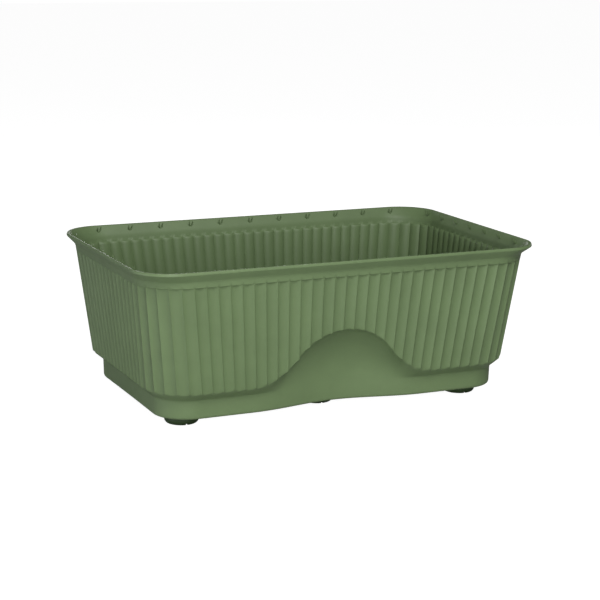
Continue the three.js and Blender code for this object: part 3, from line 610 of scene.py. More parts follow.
class WallPlan:
    """The trough's plan: rounded rectangles whose places are counted in flutes from the front."""

    def __init__(self, sizes, pitch):
        self.sizes = sizes
        self.straight_x = HALF_LENGTH - sizes.crease_inset - sizes.wall_corner
        self.straight_y = HALF_WIDTH - sizes.crease_inset - sizes.wall_corner
        self.arc = sizes.wall_corner * math.pi / 2
        self.quarter = self.straight_x + self.arc + self.straight_y
        self.per_quarter = math.floor(self.quarter / pitch) + 0.5
        self.flutes = round(4 * self.per_quarter)
        self.crease_z = RIM_TOP - sizes.crease_drop
        self.band_z = RIM_TOP - sizes.band_drop
        self.foot_z = UNDERSIDE + sizes.foot_height
        self.plinth_z = UNDERSIDE + sizes.plinth_height
        fall = self.crease_z - self.foot_z
        self.taper = (sizes.foot_inset - sizes.crease_inset) / fall
        half, rise = sizes.arch_half_width, sizes.arch_rise
        self.arch_radius = (half ** 2 + rise ** 2) / (4 * rise)

    def wall_inset(self, z):
        """How far the fluted wall lies inside the rim at a height."""
        return self.sizes.crease_inset + (self.crease_z - z) * self.taper

    def point(self, s, inset, corner, z):
        """A point of the outline, its inward direction, and whether it lies on a long side."""
        quarter, local = divmod(s % self.flutes, self.per_quarter)
        from_middle = local if quarter % 2 == 0 else self.per_quarter - local
        along = from_middle / self.per_quarter * self.quarter
        reach_x = HALF_LENGTH - inset - corner
        reach_y = HALF_WIDTH - inset - corner
        on_long_side = along <= self.straight_x
        if on_long_side:
            x, y, normal = reach_x * along / self.straight_x, reach_y + corner, (0.0, 1.0)
        elif along <= self.straight_x + self.arc:
            angle = (along - self.straight_x) / self.sizes.wall_corner
            normal = (math.sin(angle), math.cos(angle))
            x, y = reach_x + corner * normal[0], reach_y + corner * normal[1]
        else:
            x, y = reach_x + corner, reach_y * (self.quarter - along) / self.straight_y
            normal = (1.0, 0.0)
        side_x = 1 if quarter < 2 else -1
        side_y = -1 if quarter in (0, 3) else 1
        inward = Vector((-normal[0] * side_x, -normal[1] * side_y, 0.0))
        return Vector((x * side_x, y * side_y, z)), inward, on_long_side

    def arch(self, x):
        """Height of the arch over the wall's foot: two tangent arcs, hollow then round."""
        away, half, radius = abs(x), self.sizes.arch_half_width, self.arch_radius
        if away >= half:
            return 0.0
        if away >= half / 2:
            return radius - math.sqrt(radius ** 2 - (half - away) ** 2)
        return self.sizes.arch_rise - radius + math.sqrt(radius ** 2 - away ** 2)

    def arch_share(self, rise):
        """0 where there is no arch, 1 from a third of its height."""
        t = min(1.0, max(0.0, rise / (self.sizes.arch_rise / 3)))
        return t * t * (3 - 2 * t)

    def recess(self, x):
        """Set-back of the plinth's long faces under the arch."""
        half = self.sizes.recess_half_width
        if abs(x) >= half:
            return 0.0
        return self.sizes.recess_depth / 2 * (1 + math.cos(math.pi * x / half))

    def plinth_point(self, s, inset, z):
        """A point of the plinth, set back under the arch."""
        place, inward, on_long_side = self.point(s, inset, self.sizes.plinth_corner, z)
        if on_long_side:
            place = place + inward * self.recess(place.x)
        return place

    def foot_point(self, s, thickness, lift, ceiling):
        """A point of the wall's lower edge, lifted over the arch, and the arch's rise there."""
        z, rise, place = self.foot_z + lift, 0.0, None
        for _ in range(ARCH_TRIES):
            inset = self.wall_inset(z) + thickness
            place, _, on_long_side = self.point(s, inset, self.sizes.wall_corner, z)
            rise = self.arch(max(abs(place.x) - thickness, 0.0)) if on_long_side else 0.0
            z = self.foot_z + lift + rise + (ceiling - lift) * self.arch_share(rise)
        return place, rise


COVE_STEPS = 8
WALL_STEPS = 4
RAMP_STEPS = 6
INNER_FOOT_LIFT = 1.6 * MM
INNER_PLINTH_LIFT = 1.4 * MM
COVE_CEILING = 3.5 * MM
FLOOR_LAP = 12 * MM
TROUGH_CREASE = 58
ARCH_TRIES = 10

# how far each corner of the trough's section is rounded, from under the plinth to the floor
PLINTH_FOOT_ROUND = 4.5 * MM
PLINTH_TOP_ROUND = 4.0 * MM
WALL_FOOT_ROUND = 2.2 * MM
CREASE_ROUND = 3.5 * MM
LIP_ROUND = 0.9 * MM
RIM_ROUND = 1.1 * MM
INNER_RIM_ROUND = 1.0 * MM
INNER_CREASE_ROUND = 4.0 * MM
INNER_FOOT_ROUND = 3.0 * MM
INNER_PLINTH_ROUND = 3.5 * MM
FLOOR_ROUND = 4.0 * MM

# shares of the flutes' depth where they run out at the wall's foot
COVE_FADE = [0.0] * (COVE_STEPS - 2) + [0.15, 0.5]
FOOT_FADE = [0.8, 0.93, 1.0, 1.0, 1.0]
INNER_FOOT_FADE = [1.0, 1.0, 0.85, 0.7]
INNER_COVE_FADE = [0.35, 0.1] + [0.0] * (COVE_STEPS - 2)
INNER_END_STRETCH = 1.5


def cove_points(plan, foot, plinth, rise):
    """From the wall's foot to the plinth: a straight bevel, swelling to a cove in the arch."""
    share = plan.arch_share(rise)
    points = []
    for k in range(1, COVE_STEPS + 1):
        t = k / (COVE_STEPS + 1)
        angle = t * math.pi / 2
        bevel = foot.lerp(plinth, t)
        cove = foot.lerp(plinth, math.sin(angle))
        cove.z = plinth.z + (foot.z - plinth.z) * math.cos(angle)
        points.append(bevel.lerp(cove, share))
    return points


def flute_end(t):
    """Share of a flute's depth over its end, steep at first and then rounded."""
    return math.sqrt(max(0.0, 1 - (1 - t) ** 2))


def wall_rows(plan, flute, s, foot_end, thickness, lengthen):
    """The wall from above its foot to the band, as (point, share of the flute's depth)."""
    sizes = plan.sizes
    end = flute.end * lengthen
    low_z = plan.band_z - end
    inset = plan.wall_inset(low_z) + thickness
    top, _, _ = plan.point(s, inset, sizes.wall_corner, low_z)
    rows = [(foot_end.lerp(top, k / (WALL_STEPS + 1)), 1.0) for k in range(1, WALL_STEPS + 1)]
    for k in range(RAMP_STEPS + 1):
        t = math.sin(k / RAMP_STEPS * math.pi / 2)
        z = low_z + end * t
        inset = plan.wall_inset(z) + thickness
        rows.append((plan.point(s, inset, sizes.wall_corner, z)[0], flute_end(1 - t)))
    return rows


def column(plan, flute, s):
    """One upright section of the trough, from under the plinth, over the rim, to the floor."""
    sizes = plan.sizes
    wall = sizes.wall
    rows = []

    def corner(before, point, after, reach, steps, shares=None):
        """Adds a rounded corner's points, with their shares of the flute's depth."""
        points = round_corner(before, point, after, reach, steps)
        shares = shares or [0.0] * len(points)
        rows.extend(zip(points, shares))
        return points

    # outside, upwards
    under = plan.plinth_point(s, sizes.plinth_bottom_inset + FLOOR_LAP, UNDERSIDE)
    edge = plan.plinth_point(s, sizes.plinth_bottom_inset, UNDERSIDE)
    shoulder = plan.plinth_point(s, sizes.plinth_top_inset, plan.plinth_z)
    foot, rise = plan.foot_point(s, 0.0, 0.0, 0.0)
    cove = cove_points(plan, foot, shoulder, rise)[::-1]
    band = plan.point(s, plan.wall_inset(plan.band_z), sizes.wall_corner, plan.band_z)[0]
    crease = plan.point(s, sizes.crease_inset, sizes.wall_corner, plan.crease_z)[0]
    lip_low = plan.point(s, 0.0, sizes.rim_corner, RIM_TOP - sizes.lip_height)[0]
    lip_top = plan.point(s, sizes.lip_lean, sizes.rim_corner, RIM_TOP)[0]
    corner(under, edge, shoulder, PLINTH_FOOT_ROUND, 5)
    corner(edge, shoulder, cove[0], PLINTH_TOP_ROUND, 4)
    rows.extend(zip(cove, COVE_FADE))
    foot_end = corner(cove[-1], foot, band, WALL_FOOT_ROUND, 4, FOOT_FADE)[-1]
    rows.extend(wall_rows(plan, flute, s, foot_end, 0.0, 1.0))
    corner(band, crease, lip_low, CREASE_ROUND, 4)
    corner(crease, lip_low, lip_top, LIP_ROUND, 3)

    # over the rim and down the inside
    inner_rim = plan.point(
        s, sizes.lip_lean + wall, sizes.rim_corner, RIM_TOP - sizes.lip_round)[0]
    inner_crease = plan.point(
        s, sizes.crease_inset + wall, sizes.wall_corner, plan.crease_z)[0]
    inner_band = plan.point(
        s, plan.wall_inset(plan.band_z) + wall, sizes.wall_corner, plan.band_z)[0]
    inner_shoulder = plan.plinth_point(
        s, sizes.plinth_top_inset + wall, plan.plinth_z + INNER_PLINTH_LIFT)
    floor_edge = plan.plinth_point(s, sizes.plinth_bottom_inset + wall, UNDERSIDE + sizes.floor)
    floor_in = plan.plinth_point(
        s, sizes.plinth_bottom_inset + wall + FLOOR_LAP, UNDERSIDE + sizes.floor)
    inner_foot, inner_rise = plan.foot_point(s, wall, INNER_FOOT_LIFT, COVE_CEILING)
    inner_cove = cove_points(plan, inner_foot, inner_shoulder, inner_rise)
    corner(lip_low, lip_top, inner_rim, RIM_ROUND, 4)
    corner(lip_top, inner_rim, inner_crease, INNER_RIM_ROUND, 3)
    corner(inner_rim, inner_crease, inner_band, INNER_CREASE_ROUND, 4)
    inner_wall = wall_rows(plan, flute, s, inner_foot, wall, INNER_END_STRETCH)[::-1]
    rows.extend(inner_wall)
    corner(inner_wall[-1][0], inner_foot, inner_cove[0], INNER_FOOT_ROUND, 3, INNER_FOOT_FADE)
    rows.extend(zip(inner_cove, INNER_COVE_FADE))
    corner(inner_cove[-1], inner_shoulder, floor_edge, INNER_PLINTH_ROUND, 3)
    corner(inner_shoulder, floor_edge, floor_in, FLOOR_ROUND, 4)
    return rows


def flute_samples(plan, steps):
    """(place in flutes, place across the flute from -1 to 1), closest together at the ridges."""
    samples = []
    for k in range(plan.flutes):
        for j in range(steps):
            phase = 0.5 - 0.5 * math.cos(math.pi * j / steps)
            samples.append((k + 0.5 + phase, 2 * phase - 1))
    return samples


def circle(centre, radius, segments=48):
    """Points round a circle, anticlockwise."""
    points = []
    for k in range(segments):
        angle = 2 * math.pi * k / segments
        points.append(centre + Vector((radius * math.cos(angle), radius * math.sin(angle), 0)))
    return points


def keyed_circle(centre, radius, half_slot, reach, segments=14):
    """A circle with two opposite slots along Y, anticlockwise."""
    start = math.asin(half_slot / radius)
    points = []
    for side in (1, -1):
        low, high = -math.pi / 2 + start, math.pi / 2 - start
        for k in range(segments + 1):
            angle = low + (high - low) * k / segments
            points.append(Vector((radius * math.cos(angle), radius * math.sin(angle), 0)) * side)
        points.append(Vector((half_slot, reach, 0)) * side)
        points.append(Vector((-half_slot, reach, 0)) * side)
    return [centre + p for p in points]


def loop_edges(bm, verts):
    """The edges of a closed loop, made where they are missing."""
    edges = []
    for a, b in zip(verts, verts[1:] + verts[:1]):
        edges.append(bm.edges.get((a, b)) or bm.edges.new((a, b)))
    return edges


def fill_flat(bm, loops, up):
    """Fills the flat face between an outline and its holes."""
    edges = [edge for loop in loops for edge in loop_edges(bm, loop)]
    made = bmesh.ops.triangle_fill(bm, use_beauty=True, use_dissolve=False, edges=edges)
    for face in made["geom"]:
        if isinstance(face, bmesh.types.BMFace):
            face.normal_update()
            if (face.normal.z > 0) != up:
                face.normal_flip()


def bridge(bm, lower, upper, outward=True):
    """Joins two loops of equal length with a band of faces."""
    size = len(lower)
    for k in range(size):
        m = (k + 1) % size
        corners = [lower[k], lower[m], upper[m], upper[k]]
        bm.faces.new(corners if outward else corners[::-1])


def floor_holes():
    """The feet's key holes and the overflow's round hole, as loops of points."""
    holes = []
    radius = NECK_RADIUS + TURN_CLEARANCE
    half_slot = LUG_WIDTH / 2 + TURN_CLEARANCE
    for k in range(1, FEET + 1):
        holes.append(keyed_circle(middle(f"foot_{k}"), radius, half_slot, radius + LUG_LENGTH))
    holes.append(circle(middle("overflow_pipe"), OVERFLOW_RADIUS + PLUG_CLEARANCE))
    return holes


def trough_base(plan, flute):
    """The trough before its flutes are pressed in, as a mesh with the flutes' attributes."""
    bm = bmesh.new()
    across = bm.verts.layers.float.new("flute_across")
    share = bm.verts.layers.float.new("flute_share")
    inward = bm.verts.layers.float_vector.new("flute_inward")
    columns = []
    for s, t in flute_samples(plan, flute.steps):
        direction = plan.point(s, 0.0, plan.sizes.wall_corner, 0.0)[1]
        verts = []
        for place, depth in column(plan, flute, s):
            vert = bm.verts.new(place)
            vert[across] = t
            vert[share] = depth
            vert[inward] = direction
            verts.append(vert)
        columns.append(verts)
    for here, there in zip(columns, columns[1:] + columns[:1]):
        for k in range(len(here) - 1):
            bm.faces.new((here[k], there[k], there[k + 1], here[k + 1]))
    under_loops = [[verts[0] for verts in columns]]
    floor_loops = [[verts[-1] for verts in columns]]
    for hole in floor_holes():
        low = [bm.verts.new((p.x, p.y, UNDERSIDE)) for p in hole]
        high = [bm.verts.new((p.x, p.y, UNDERSIDE + plan.sizes.floor)) for p in hole]
        bridge(bm, low, high, outward=False)
        under_loops.append(low)
        floor_loops.append(high)
    fill_flat(bm, under_loops, up=False)
    fill_flat(bm, floor_loops, up=True)
    return mesh_of("planter_shell", bm)


HOOK_SAMPLES = 16


def hook_points(plan, hook):
    """Points on the flare's inner face, each with the angles that stand a hook against it."""
    sizes = plan.sizes
    share = (hook.below_rim - sizes.lip_round) / (sizes.crease_drop - sizes.lip_round)
    samples = []
    for k in range(plan.flutes * HOOK_SAMPLES):
        s = k / HOOK_SAMPLES
        high, _, _ = plan.point(
            s, sizes.lip_lean + sizes.wall, sizes.rim_corner, RIM_TOP - sizes.lip_round)
        low, inward, _ = plan.point(
            s, sizes.crease_inset + sizes.wall, sizes.wall_corner, plan.crease_z)
        samples.append((high.lerp(low, share), inward))
    sides = (
        (0, 1, HALF_WIDTH, hook.number, hook.pitch, hook.offset),
        (1, 0, HALF_LENGTH, hook.end_number, hook.end_pitch, hook.end_offset),
    )
    bm = bmesh.new()
    turn_layer = bm.verts.layers.float_vector.new("hook_turn")
    for along, across, distance, number, pitch, offset in sides:
        for side in (-1, 1):
            face = [item for item in samples
                    if item[0][across] * side > distance - sizes.rim_corner]
            for k in range(number):
                wanted = offset + (k - (number - 1) / 2) * pitch
                place, inward = min(face, key=lambda item: abs(item[0][along] - wanted))
                vert = bm.verts.new(place)
                turn = math.atan2(-inward.x, inward.y)
                vert[turn_layer] = Vector((math.pi / 2 - hook.lean, 0.0, turn))
    return mesh_of("tie_hooks", bm)


def make_trough(settings):
    """The fluted trough with its tie hooks."""
    plan = WallPlan(settings.trough, settings.flute.pitch)
    material = material_for("sage_plastic")
    shell = object_of("planter_shell", trough_base(plan, settings.flute))
    apply_tree(shell, flute_tree(), {
        "Depth": settings.flute.depth,
        "Roundness": settings.flute.roundness,
        "Material": material,
    })
    hooks = object_of("tie_hooks", hook_points(plan, settings.hook))
    apply_tree(hooks, hook_tree(), {
        "Width": settings.hook.width - 2 * settings.hook.rib,
        "Height": settings.hook.height,
        "Rib": settings.hook.rib,
        "Material": material,
    })
    bm = bmesh.new()
    bm.from_mesh(shell.data)
    bm.from_mesh(hooks.data)
    bm.to_mesh(shell.data)
    bm.free()
    bpy.data.objects.remove(hooks)
    for attribute in ("flute_across", "flute_share", "flute_inward", "hook_turn"):
        if attribute in shell.data.attributes:
            shell.data.attributes.remove(shell.data.attributes[attribute])
    finish_piece(shell, material, BODY, "sage_plastic", "planter_box", crease=TROUGH_CREASE)


# ---------------------------------------------------------------- reservoir plate

def inset_loop(points, distance):
    """Moves an anticlockwise loop inward along its normals."""
    result = []
    size = len(points)
    for i, point in enumerate(points):
        along = points[(i + 1) % size] - points[i - 1]
        normal = Vector((-along.y, along.x, 0.0)).normalized()
        result.append(point + normal * distance)
    return result


def inner_outline(plan, flute, z):
    """The trough's inner outline at a height on its ledge, one point per ridge and hollow."""
    points = []
    for k in range(2 * plan.flutes):
        rows = [place for place, _ in column(plan, flute, k / 2)][::-1]
        for below, above in zip(rows, rows[1:]):
            if below.z <= z < above.z:
                points.append(below.lerp(above, (z - below.z) / (above.z - below.z)))
                break
    return [Vector((p.x, p.y, 0.0)) for p in points]


def slot_loop(centre, slot_length, width, segments=6):
    """A round-ended slot along X, anticlockwise."""
    radius = width / 2
    half = slot_length / 2 - radius
    points = []
    for side in (1, -1):
        for k in range(segments + 1):
            angle = math.pi * (k / segments - 0.5)
            arc = Vector((half + radius * math.cos(angle), radius * math.sin(angle), 0.0))
            points.append(centre + arc * side)
    return points


def air_slots(inner, cup_x, cup_y, cup_radius):
    """Rows of slots between the cups; the outer rows stop short of the cups."""
    slots = []
    reach = (inner.slot_columns - 1) / 2
    for k in range(inner.slot_columns):
        x = (k - reach) * inner.slot_pitch
        rows = [0.0]
        if cup_x - abs(x) > cup_radius + inner.slot_length:
            rows += [-cup_y / 2, cup_y / 2]
        for y in rows:
            slots.append(slot_loop(Vector((x, y, 0.0)), inner.slot_length, inner.slot_width))
    return slots


def raised(bm, loop, z):
    """The loop's points as vertices at a height."""
    return [bm.verts.new((p.x, p.y, z)) for p in loop]


LEG_RADIUS = 9 * MM
LEG_WALL = 2 * MM
LEG_X = 80 * MM
LEG_FROM_SIDE = 84 * MM
END_LEG_FROM_END = 66 * MM
LEG_SIDES = 40
PLATE_EDGE = 0.5 * MM
HOLE_EDGE = 0.35 * MM
HOLE_SIDES = 72
PLUG_CLEARANCE = 0.3 * MM


def leg_places():
    """Where the plate's hollow legs stand."""
    y = HALF_WIDTH - LEG_FROM_SIDE
    x = HALF_LENGTH - END_LEG_FROM_END
    corners = [Vector((a * LEG_X, b * y, 0.0)) for b in (-1, 1) for a in (-1, 1)]
    return corners + [Vector((-x, 0.0, 0.0)), Vector((x, 0.0, 0.0))]


def make_plate(settings):
    """The plate that holds the soil above the water, with its upstand, openings and legs."""
    inner = settings.inner
    plan = WallPlan(settings.trough, settings.flute.pitch)
    low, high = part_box("reservoir_plate")
    top = high.z - inner.plate_rim_height
    under = top - inner.plate_thickness
    width = inner.plate_rim_width
    edge = PLATE_EDGE
    outline = inset_loop(inner_outline(plan, settings.flute, under), inner.plate_gap)
    section = [
        (edge, under), (0.0, under + edge),
        (0.0, high.z - 1.6 * edge), (0.35 * edge, high.z - 0.5 * edge), (1.4 * edge, high.z),
        (width - 1.4 * edge, high.z), (width - 0.35 * edge, high.z - 0.5 * edge),
        (width, high.z - 1.6 * edge), (width, top + 2.4 * edge),
        (width + 0.7 * edge, top + 0.7 * edge), (width + 2.4 * edge, top),
    ]
    bm = bmesh.new()
    rings = [raised(bm, inset_loop(outline, inset), z) for inset, z in section]
    for below, above in zip(rings, rings[1:]):
        bridge(bm, below, above)
    under_loops, top_loops = [rings[0]], [rings[-1]]
    cup_low, cup_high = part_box("wicking_cup_4")
    cup_radius = (cup_high.x - cup_low.x) / 2 - inner.cup_flange
    tube_low, tube_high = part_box("filler_tube")
    sleeve_low, sleeve_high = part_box("gauge_sleeve")
    tube_radius = (tube_high.x - tube_low.x) / 2 - COLLAR_WIDTH
    sleeve_radius = (sleeve_high.x - sleeve_low.x) / 2 - COLLAR_WIDTH
    cup_middle = middle("wicking_cup_4")
    for k in range(1, CUPS + 1):
        place = middle(f"wicking_cup_{k}")
        round_hole(bm, place, cup_radius + PLUG_CLEARANCE, under, top, under_loops, top_loops)
    tube_centre = tube_middle()
    for place, radius in ((tube_centre, tube_radius), (middle("gauge_sleeve"), sleeve_radius)):
        round_hole(bm, place, radius + PLUG_CLEARANCE, under, top, under_loops, top_loops)
    for slot in air_slots(inner, cup_middle.x, cup_middle.y, cup_radius):
        pierce(bm, slot, under, top, under_loops, top_loops)
    for place in leg_places():
        outer = circle(place, LEG_RADIUS, LEG_SIDES)
        bore = circle(place, LEG_RADIUS - LEG_WALL, LEG_SIDES)
        rows = [raised(bm, outer, under), raised(bm, outer, low.z + edge),
                raised(bm, circle(place, LEG_RADIUS - edge, LEG_SIDES), low.z),
                raised(bm, circle(place, LEG_RADIUS - LEG_WALL + edge, LEG_SIDES), low.z),
                raised(bm, bore, low.z + edge), raised(bm, bore, under)]
        for here, there in zip(rows, rows[1:]):
            bridge(bm, here, there, outward=False)
        under_loops.append(rows[0])
        bm.faces.new(rows[-1][::-1])
    fill_flat(bm, under_loops, up=False)
    fill_flat(bm, top_loops, up=True)
    plate = object_of("plate", mesh_of("plate", bm))
    finish_piece(plate, material_for("grey_plastic"), BODY, "grey_plastic", "reservoir_plate")


def pierce(bm, loop, under, top, under_loops, top_loops):
    """A hole through the plate with softened rims."""
    edge = HOLE_EDGE
    rows = [(-edge, under), (0.0, under + edge), (0.0, top - edge), (-edge, top)]
    rings = [raised(bm, inset_loop(loop, inset), z) for inset, z in rows]
    for below, above in zip(rings, rings[1:]):
        bridge(bm, below, above, outward=False)
    under_loops.append(rings[0])
    top_loops.append(rings[-1])


def round_hole(bm, centre, radius, under, top, under_loops, top_loops):
    """A round hole through the plate."""
    pierce(bm, circle(centre, radius, HOLE_SIDES), under, top, under_loops, top_loops)


# ---------------------------------------------------------------- wicking cups

CUP_SLOTS = 6
CUP_SLOT_WIDTH = 5 * MM
CUP_SLOT_HEIGHT = 17 * MM
CUP_SLOT_SILL = 1 * MM
CUP_SLOT_ROUND = 1.6 * MM
OVERRUN = 1 * MM


def make_cup(settings, number):
    """A tapered cup with slots near its floor, which hangs in the plate by its flange."""
    inner = settings.inner
    node = f"wicking_cup_{number}"
    low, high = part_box(node)
    centre = middle(node)
    wall = inner.cup_wall
    reach = (high.x - low.x) / 2
    radius = reach - inner.cup_flange
    bottom = radius - inner.cup_taper
    plate_top = high.z - wall
    under = plate_top - inner.plate_thickness
    outline = [
        (0, low.z), (bottom, low.z), (radius, under), (radius, plate_top),
        (reach, plate_top), (reach, high.z), (radius - wall, high.z),
        (radius - wall, under), (bottom - wall, low.z + wall), (0, low.z + wall),
    ]
    cup = turned_piece(f"wick_cup_{number}", outline, 72, centre, 0.8 * MM)
    slots = bmesh.new()
    sill = low.z + wall + CUP_SLOT_SILL
    depth = inner.cup_taper + wall + OVERRUN
    for k in range(CUP_SLOTS):
        part = bmesh.new()
        add_block(part, (bottom - depth, -CUP_SLOT_WIDTH / 2, sill),
                  (bottom + depth, CUP_SLOT_WIDTH / 2, sill + CUP_SLOT_HEIGHT))
        upright = [e for e in part.edges
                   if abs(e.verts[0].co.x - e.verts[1].co.x) > depth]
        bmesh.ops.bevel(part, geom=upright, offset=CUP_SLOT_ROUND, segments=3, profile=0.5,
                        affect="EDGES", clamp_overlap=True)
        turn = Matrix.Rotation(2 * math.pi * (k + 0.5) / CUP_SLOTS, 4, "Z")
        bmesh.ops.transform(part, matrix=Matrix.Translation(centre) @ turn, verts=part.verts)
        merge_into(slots, part)
    cut(cup, slots)
    finish_piece(cup, material_for("black_plastic"), BODY, "black_plastic", node)


# ---------------------------------------------------------------- filler tube, cap and pin

COLLAR_WIDTH = 5 * MM
COLLAR_HEIGHT = 3 * MM
MOUTH_HEIGHT = 9 * MM
MOUTH_FLARE = 4.5 * MM
KNUCKLE_RADIUS = 3.1 * MM
HINGE_RISE = 1.4 * MM
KNUCKLE_WIDTH = 9 * MM
EAR_WIDTH = 4 * MM
TURN_CLEARANCE = 0.3 * MM
CAP_OVERHANG = 0.6 * MM
CAP_TAB = 7 * MM
LID_STEP = 1.2 * MM
CAP_THICKNESS = 2.6 * MM
CAP_EDGE = 4 * MM
CAP_DISH = 0.6 * MM
CAP_DISH_SLOPE = 1 * MM
CAP_ARM_ROOT = 4 * MM


def tube_middle():
    """The filler tube's axis: its hinge ears reach further back than its collar."""
    low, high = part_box("filler_tube")
    radius = (high.x - low.x) / 2
    return Vector(((low.x + high.x) / 2, low.y + radius, 0.0))


def hinge_centre():
    """The middle of the hinge pin."""
    low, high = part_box("filler_hinge_pin")
    return (low + high) / 2


def make_filler_tube(settings):
    """The tube that water is poured into, with its collar, flared mouth and hinge ears."""
    low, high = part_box("filler_tube")
    centre, pin = tube_middle(), hinge_centre()
    wall = settings.inner.tube_wall
    reach = (high.x - low.x) / 2
    radius = reach - COLLAR_WIDTH
    mouth = radius + MOUTH_FLARE
    bore = radius - wall
    mouth_top = pin.z - HINGE_RISE
    neck = mouth_top - MOUTH_HEIGHT
    flare = mouth_top - MOUTH_HEIGHT / 3
    plate_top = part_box("reservoir_plate")[1].z - settings.inner.plate_rim_height
    outline = [
        (bore, low.z), (radius, low.z), (radius, plate_top), (reach, plate_top),
        (reach, plate_top + COLLAR_HEIGHT), (radius, plate_top + COLLAR_HEIGHT),
        (radius, neck), (mouth, flare), (mouth, mouth_top), (mouth - wall, mouth_top),
        (mouth - wall, flare), (bore, neck), (bore, low.z),
    ]
    tube = turned_piece("pour_tube", outline, 72, centre, 0.7 * MM)
    bm = bmesh.new()
    bm.from_mesh(tube.data)
    for side in (-1, 1):
        x = centre.x + side * (KNUCKLE_WIDTH / 2 + TURN_CLEARANCE + EAR_WIDTH / 2)
        add_block(bm, (x - EAR_WIDTH / 2, centre.y + mouth - wall / 2, neck),
                  (x + EAR_WIDTH / 2, pin.y, mouth_top), 0.5 * MM)
        add_barrel(bm, Vector((x, pin.y, pin.z)), KNUCKLE_RADIUS, EAR_WIDTH, 0.4 * MM)
    bm.to_mesh(tube.data)
    bm.free()
    finish_piece(tube, material_for("grey_plastic"), BODY, "grey_plastic", "filler_tube")


def make_filler_cap(settings):
    """The lid of the filler tube, with a thumb tab and a hinge knuckle."""
    low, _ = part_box("filler_cap")
    tube_low, tube_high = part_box("filler_tube")
    centre, pin = tube_middle(), hinge_centre()
    wall = settings.inner.tube_wall
    mouth = (tube_high.x - tube_low.x) / 2 - COLLAR_WIDTH + MOUTH_FLARE
    if low.z < pin.z - KNUCKLE_RADIUS:
        under = low.z + LID_STEP
    else:
        under = pin.z - HINGE_RISE + TURN_CLEARANCE
    top = under + CAP_THICKNESS
    reach = mouth + CAP_OVERHANG
    plug = mouth - wall - TURN_CLEARANCE
    outline = [
        (0, under - LID_STEP), (plug, under - LID_STEP), (plug, under), (reach, under),
        (reach, top), (reach - CAP_EDGE, top),
        (reach - CAP_EDGE - CAP_DISH_SLOPE, top - CAP_DISH), (0, top - CAP_DISH),
    ]
    cap = turned_piece("pour_lid", outline, 72, centre, 0.5 * MM)
    bm = bmesh.new()
    bm.from_mesh(cap.data)
    tab_y = centre.y - reach - CAP_TAB / 4
    add_block(bm, (centre.x - CAP_TAB, tab_y - CAP_TAB / 2, under),
              (centre.x + CAP_TAB, tab_y + CAP_TAB / 2, top), 0.7 * MM, 3)
    add_block(bm, (centre.x - KNUCKLE_WIDTH / 2, centre.y + plug - CAP_ARM_ROOT, under),
              (centre.x + KNUCKLE_WIDTH / 2, pin.y, top), 0.5 * MM)
    add_barrel(bm, pin, KNUCKLE_RADIUS, KNUCKLE_WIDTH, 0.4 * MM)
    bm.to_mesh(cap.data)
    bm.free()
    finish_piece(cap, material_for("deep_green_plastic"), "cap", "deep_green_plastic",
                 "filler_cap")


def make_hinge_pin():
    """The steel pin of the cap's hinge."""
    low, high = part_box("filler_hinge_pin")
    bm = bmesh.new()
    add_barrel(bm, hinge_centre(), (high.z - low.z) / 2, high.x - low.x, 0.3 * MM, 24)
    pin = object_of("hinge_wire", mesh_of("hinge_wire", bm))
    finish_piece(pin, material_for("pin_steel"), BODY, "pin_steel", "filler_hinge_pin")


# ---------------------------------------------------------------- water level indicator

SLEEVE_WALL = 1.8 * MM
SLEEVE_GUIDE = 6 * MM
WINDOW_WIDTH = 9 * MM
WINDOW_HEIGHT = 34 * MM
GAUGE_PLUG = 5 * MM
GAUGE_LID_EDGE = 2 * MM
ROD_FIT = 0.15 * MM
WINDOW_LINTEL = 1 * MM
WINDOW_ROUND = 2.5 * MM
GAUGE_DIMPLE = 3 * MM
GAUGE_DIMPLE_FLOOR = 2 * MM
GAUGE_DIMPLE_DEPTH = 0.5 * MM
FLOAT_EDGE = 2 * MM
FLAG_EDGE = 1.5 * MM


def make_gauge_sleeve(settings):
    """The sleeve round the float's rod, with windows near its top."""
    low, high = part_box("gauge_sleeve")
    rod_low, rod_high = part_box("gauge_rod")
    centre = middle("gauge_sleeve")
    radius = (high.x - low.x) / 2 - COLLAR_WIDTH
    bore = radius - SLEEVE_WALL
    guide = (rod_high.x - rod_low.x) / 2 + TURN_CLEARANCE
    plate_top = low.z + settings.inner.plate_thickness
    reach = radius + COLLAR_WIDTH
    outline = [
        (guide, low.z), (radius, low.z), (radius, plate_top), (reach, plate_top),
        (reach, plate_top + COLLAR_HEIGHT), (radius, plate_top + COLLAR_HEIGHT),
        (radius, high.z), (bore, high.z), (bore, low.z + SLEEVE_GUIDE),
        (guide, low.z + SLEEVE_GUIDE), (guide, low.z),
    ]
    sleeve = turned_piece("level_sleeve", outline, 64, centre, 0.5 * MM)
    window_top = high.z - GAUGE_PLUG - WINDOW_LINTEL
    windows = bmesh.new()
    add_block(windows, (-WINDOW_WIDTH / 2, -2 * radius, window_top - WINDOW_HEIGHT),
              (WINDOW_WIDTH / 2, 2 * radius, window_top))
    long_edges = [e for e in windows.edges if abs(e.verts[0].co.y - e.verts[1].co.y) > radius]
    bmesh.ops.bevel(windows, geom=long_edges, offset=WINDOW_ROUND, segments=4, profile=0.5,
                    affect="EDGES", clamp_overlap=True)
    bmesh.ops.translate(windows, vec=centre, verts=windows.verts)
    cut(sleeve, windows)
    finish_piece(sleeve, material_for("pale_plastic"), BODY, "pale_plastic", "gauge_sleeve")


